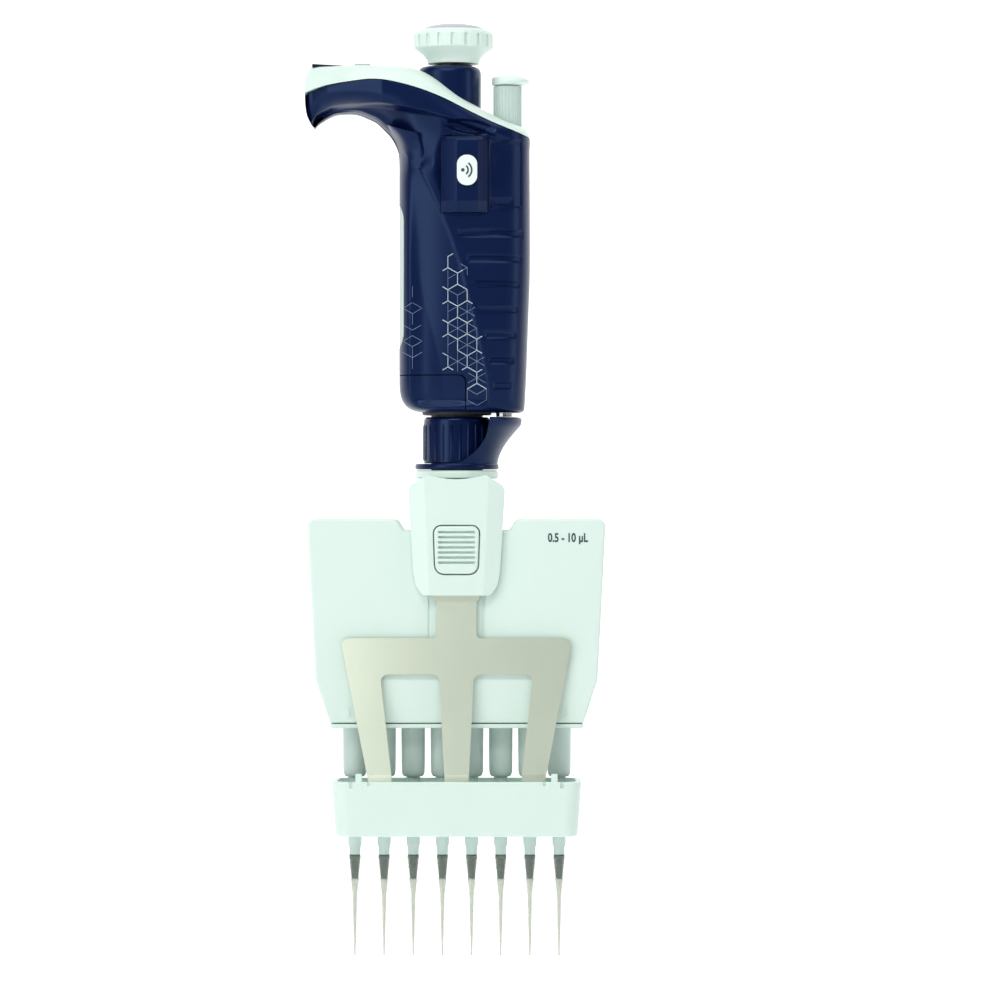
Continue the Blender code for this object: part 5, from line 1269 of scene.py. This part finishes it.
def lay_on(tree, x, z, lift):
    """The point of a front face under (x, z), lifted by a little; None past its edge."""
    hit = tree.ray_cast(Vector((x * MM, -0.05, z * MM)), Vector((0, 1, 0)))
    return None if hit[0] is None else (x, hit[0].y / MM - lift, z)


def make_net():
    """A fading net of hexagons printed on the grip: bright cells, faint cells and half spokes."""
    tree = skin(HANDLE_FRONT)
    side, step, x0, z0 = 3.37, 2.95, 0.30, Z_BODY + 35.7

    def at(i, j):
        """Column i and half-row j of the net, counted from the top bright cell's middle."""
        return x0 + i * step, z0 - j * side / 2

    def between(a, b, share):
        return a[0] + (b[0] - a[0]) * share, a[1] + (b[1] - a[1]) * share

    def cell(i, j):
        return [at(i + a, j + b)
                for a, b in ((0, -2), (1, -1), (1, 1), (0, 2), (-1, 1), (-1, -1))]

    def outline(i, j, skip=()):
        c = cell(i, j)
        return [(c[k], c[(k + 1) % 6]) for k in range(6) if k not in skip]

    def spokes(i, j, which=range(6), share=1.0):
        return [(at(i, j), between(at(i, j), cell(i, j)[k], share)) for k in which]

    def path(*stops):
        return [(at(*a), at(*b)) for a, b in zip(stops, stops[1:])]

    bright = outline(0, 0) + outline(0, 6) + outline(1, 9) + path((0, 2), (0, 4))
    bright += path((-1, -7), (-1, -5), (0, -4), (0, -2)) + path((1, 11), (1, 13), (2, 14), (2, 16))
    bright += path((-1, 11), (-1, 13)) + path((2, 16), (1, 17)) + path((2, 16), (3, 17))
    for a, b in (((-1, -7), (0, -8)), ((-1, -5), (-2, -4)), ((-1, -1), (-2, -2)),
                 ((-1, 1), (-2, 2)), ((1, 1), (2, 2)), ((-1, 5), (-2, 4)), ((-1, 7), (-2, 8)),
                 ((1, 5), (2, 4)), ((2, 10), (3, 11)), ((2, 8), (3, 7)), ((-1, 11), (-2, 10)),
                 ((-1, 13), (-2, 14)), ((-1, 13), (0, 14)), ((1, 13), (0, 14)),
                 ((2, 14), (3, 13)), ((0, -4), (1, -5))):
        bright.append((at(*a), between(at(*a), at(*b), 0.55)))
    faint = spokes(0, 6) + spokes(1, 9) + spokes(0, 0, (1, 3, 5))
    faint += outline(2, 18, (5, 0)) + spokes(2, 18, (1, 5), 0.95)
    for i, j, which, share in (
        (0, 12, range(6), 0.9), (2, 12, range(6), 0.8), (1, 3, range(6), 0.8),
        (2, 6, (3, 4, 5), 0.9), (-1, 3, (0, 1, 3), 0.8), (-1, 9, (0, 1, 3), 0.8),
        (-1, -3, (0, 1, 3), 0.8), (1, -5, (3, 4, 5), 0.7), (2, 15, (1, 2, 4, 5), 0.9),
    ):
        faint += spokes(i, j, which, share)
    # the small group nearer the palm
    group = outline(0, -2, (1, 2, 3, 4)) + spokes(0, -2, (1, 3, 5))
    group += outline(0, 4, (1, 2, 3, 4)) + spokes(0, 4, (1, 3, 5))
    group += outline(0, 4, (0, 5, 1, 4)) + path((0, 6), (0, 8)) + path((0, -7), (0, -5))
    group += spokes(0, 1, (1, 5), 0.9)
    faint += [tuple((x - 13.85, z - 8.9) for x, z in line) for line in group]
    for lines, bead, look, name in ((bright, 0.15, SILVER_INK, "net_bright"),
                                    (faint, 0.09, FAINT_INK, "net_faint")):
        points, edges, known = [], [], {}
        for a, b in lines:
            row = [lay_on(tree, *between(a, b, t / 6), -0.03) for t in range(7)]
            for p, q in zip(row, row[1:]):
                if p is None or q is None:
                    continue
                ends = []
                for point in (p, q):
                    key = tuple(round(c, 3) for c in point)
                    if key not in known:
                        known[key] = len(points)
                        points.append(point)
                    ends.append(known[key])
                if tuple(ends) not in edges and tuple(reversed(ends)) not in edges:
                    edges.append(tuple(ends))
        mesh = bpy.data.meshes.new(name)
        mesh.from_pydata([Vector(p) * MM for p in points], edges, [])
        net = new_object(name, mesh)
        patterned(net, LINES, look, Bead=bead * MM)
        carry(net, "handle", "white_shell")


def figure(text, height, wide, weight, x, z, face, thick, look, name):
    """Figures of a set height, width and weight as a thin solid on a front face."""
    curve = bpy.data.curves.new(name, "FONT")
    curve.body = text
    curve.size = height * 1.38 * MM
    curve.offset = weight * MM
    curve.extrude = thick * MM / 2
    curve.align_x, curve.align_y = "CENTER", "CENTER"
    curve.resolution_u = 5
    graph = bpy.context.evaluated_depsgraph_get()
    holder = new_object(name, curve)
    graph.update()
    mesh = bpy.data.meshes.new_from_object(holder.evaluated_get(graph))
    bpy.data.objects.remove(holder, do_unlink=True)
    ends = [vertex.co.x for vertex in mesh.vertices]
    squeeze = wide * MM / (max(ends) - min(ends))
    for vertex in mesh.vertices:
        a, b, c = vertex.co
        vertex.co = (a * squeeze + x * MM, -c + face * MM, b + z * MM)
    work = bmesh.new()
    work.from_mesh(mesh)
    bmesh.ops.remove_doubles(work, verts=work.verts, dist=1e-6)
    bmesh.ops.recalc_face_normals(work, faces=work.faces)
    work.to_mesh(mesh)
    work.free()
    return dress(new_object(name, mesh), look)


def make_figures():
    """Raised channel numbers at both ends of the manifold, and the printed range."""
    tree = skin(HOUSING_FRONT)
    low, high = Z_HOUSING_LOW + 3.2, Z_HOUSING_TOP - 5.8
    for text, x, wide in (("1", -33.2, 0.9), ("8", 33.2, 2.0)):
        face = lay_on(tree, x, low, 0.0)[1]
        raised = figure(text, 2.9, wide, 0.03, x, low, face, 0.8, WHITE, f"raised_{text}")
        carry(raised, "manifold", "white_shell")
    face = lay_on(tree, 34.0, high, 0.0)[1]
    printed = figure("0.5 - 10 µL", 2.7, 12.3, 0.11, 34.05, high, face, 0.12, DARK_INK,
                     "range_print")
    carry(printed, "manifold", "black_part")


make_knob()
make_button()
make_arm()
make_neck()
make_hood()
HOUSING_FRONT = make_housing()
make_comb()
make_fork()
make_channels()
make_net()
make_figures()


# ---- finishes of the CAD nodes that stay
def plain_nodes():
    """The pieces inside keep their CAD shape and take a real material."""
    looks = {
        "battery": CELL, "circuit_board": BOARD, "motor": CAN, "nose_bush": BLACK,
        "knob_spring": WIRE, "ejector_spring": WIRE, "knob_stem": BLACK, "drive_screw": TURNED,
        "piston_plate": ALLOY, "neck_tube": BLACK, "ejector_rod": TURNED,
        **{f"piston_{n}": TURNED for n in range(1, 9)},
    }
    for name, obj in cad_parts.items():
        look = looks.get(name, WHITE)
        for slot_of_node in obj.material_slots:
            slot_of_node.material = look
        if not obj.material_slots:
            obj.data.materials.append(look)


plain_nodes()
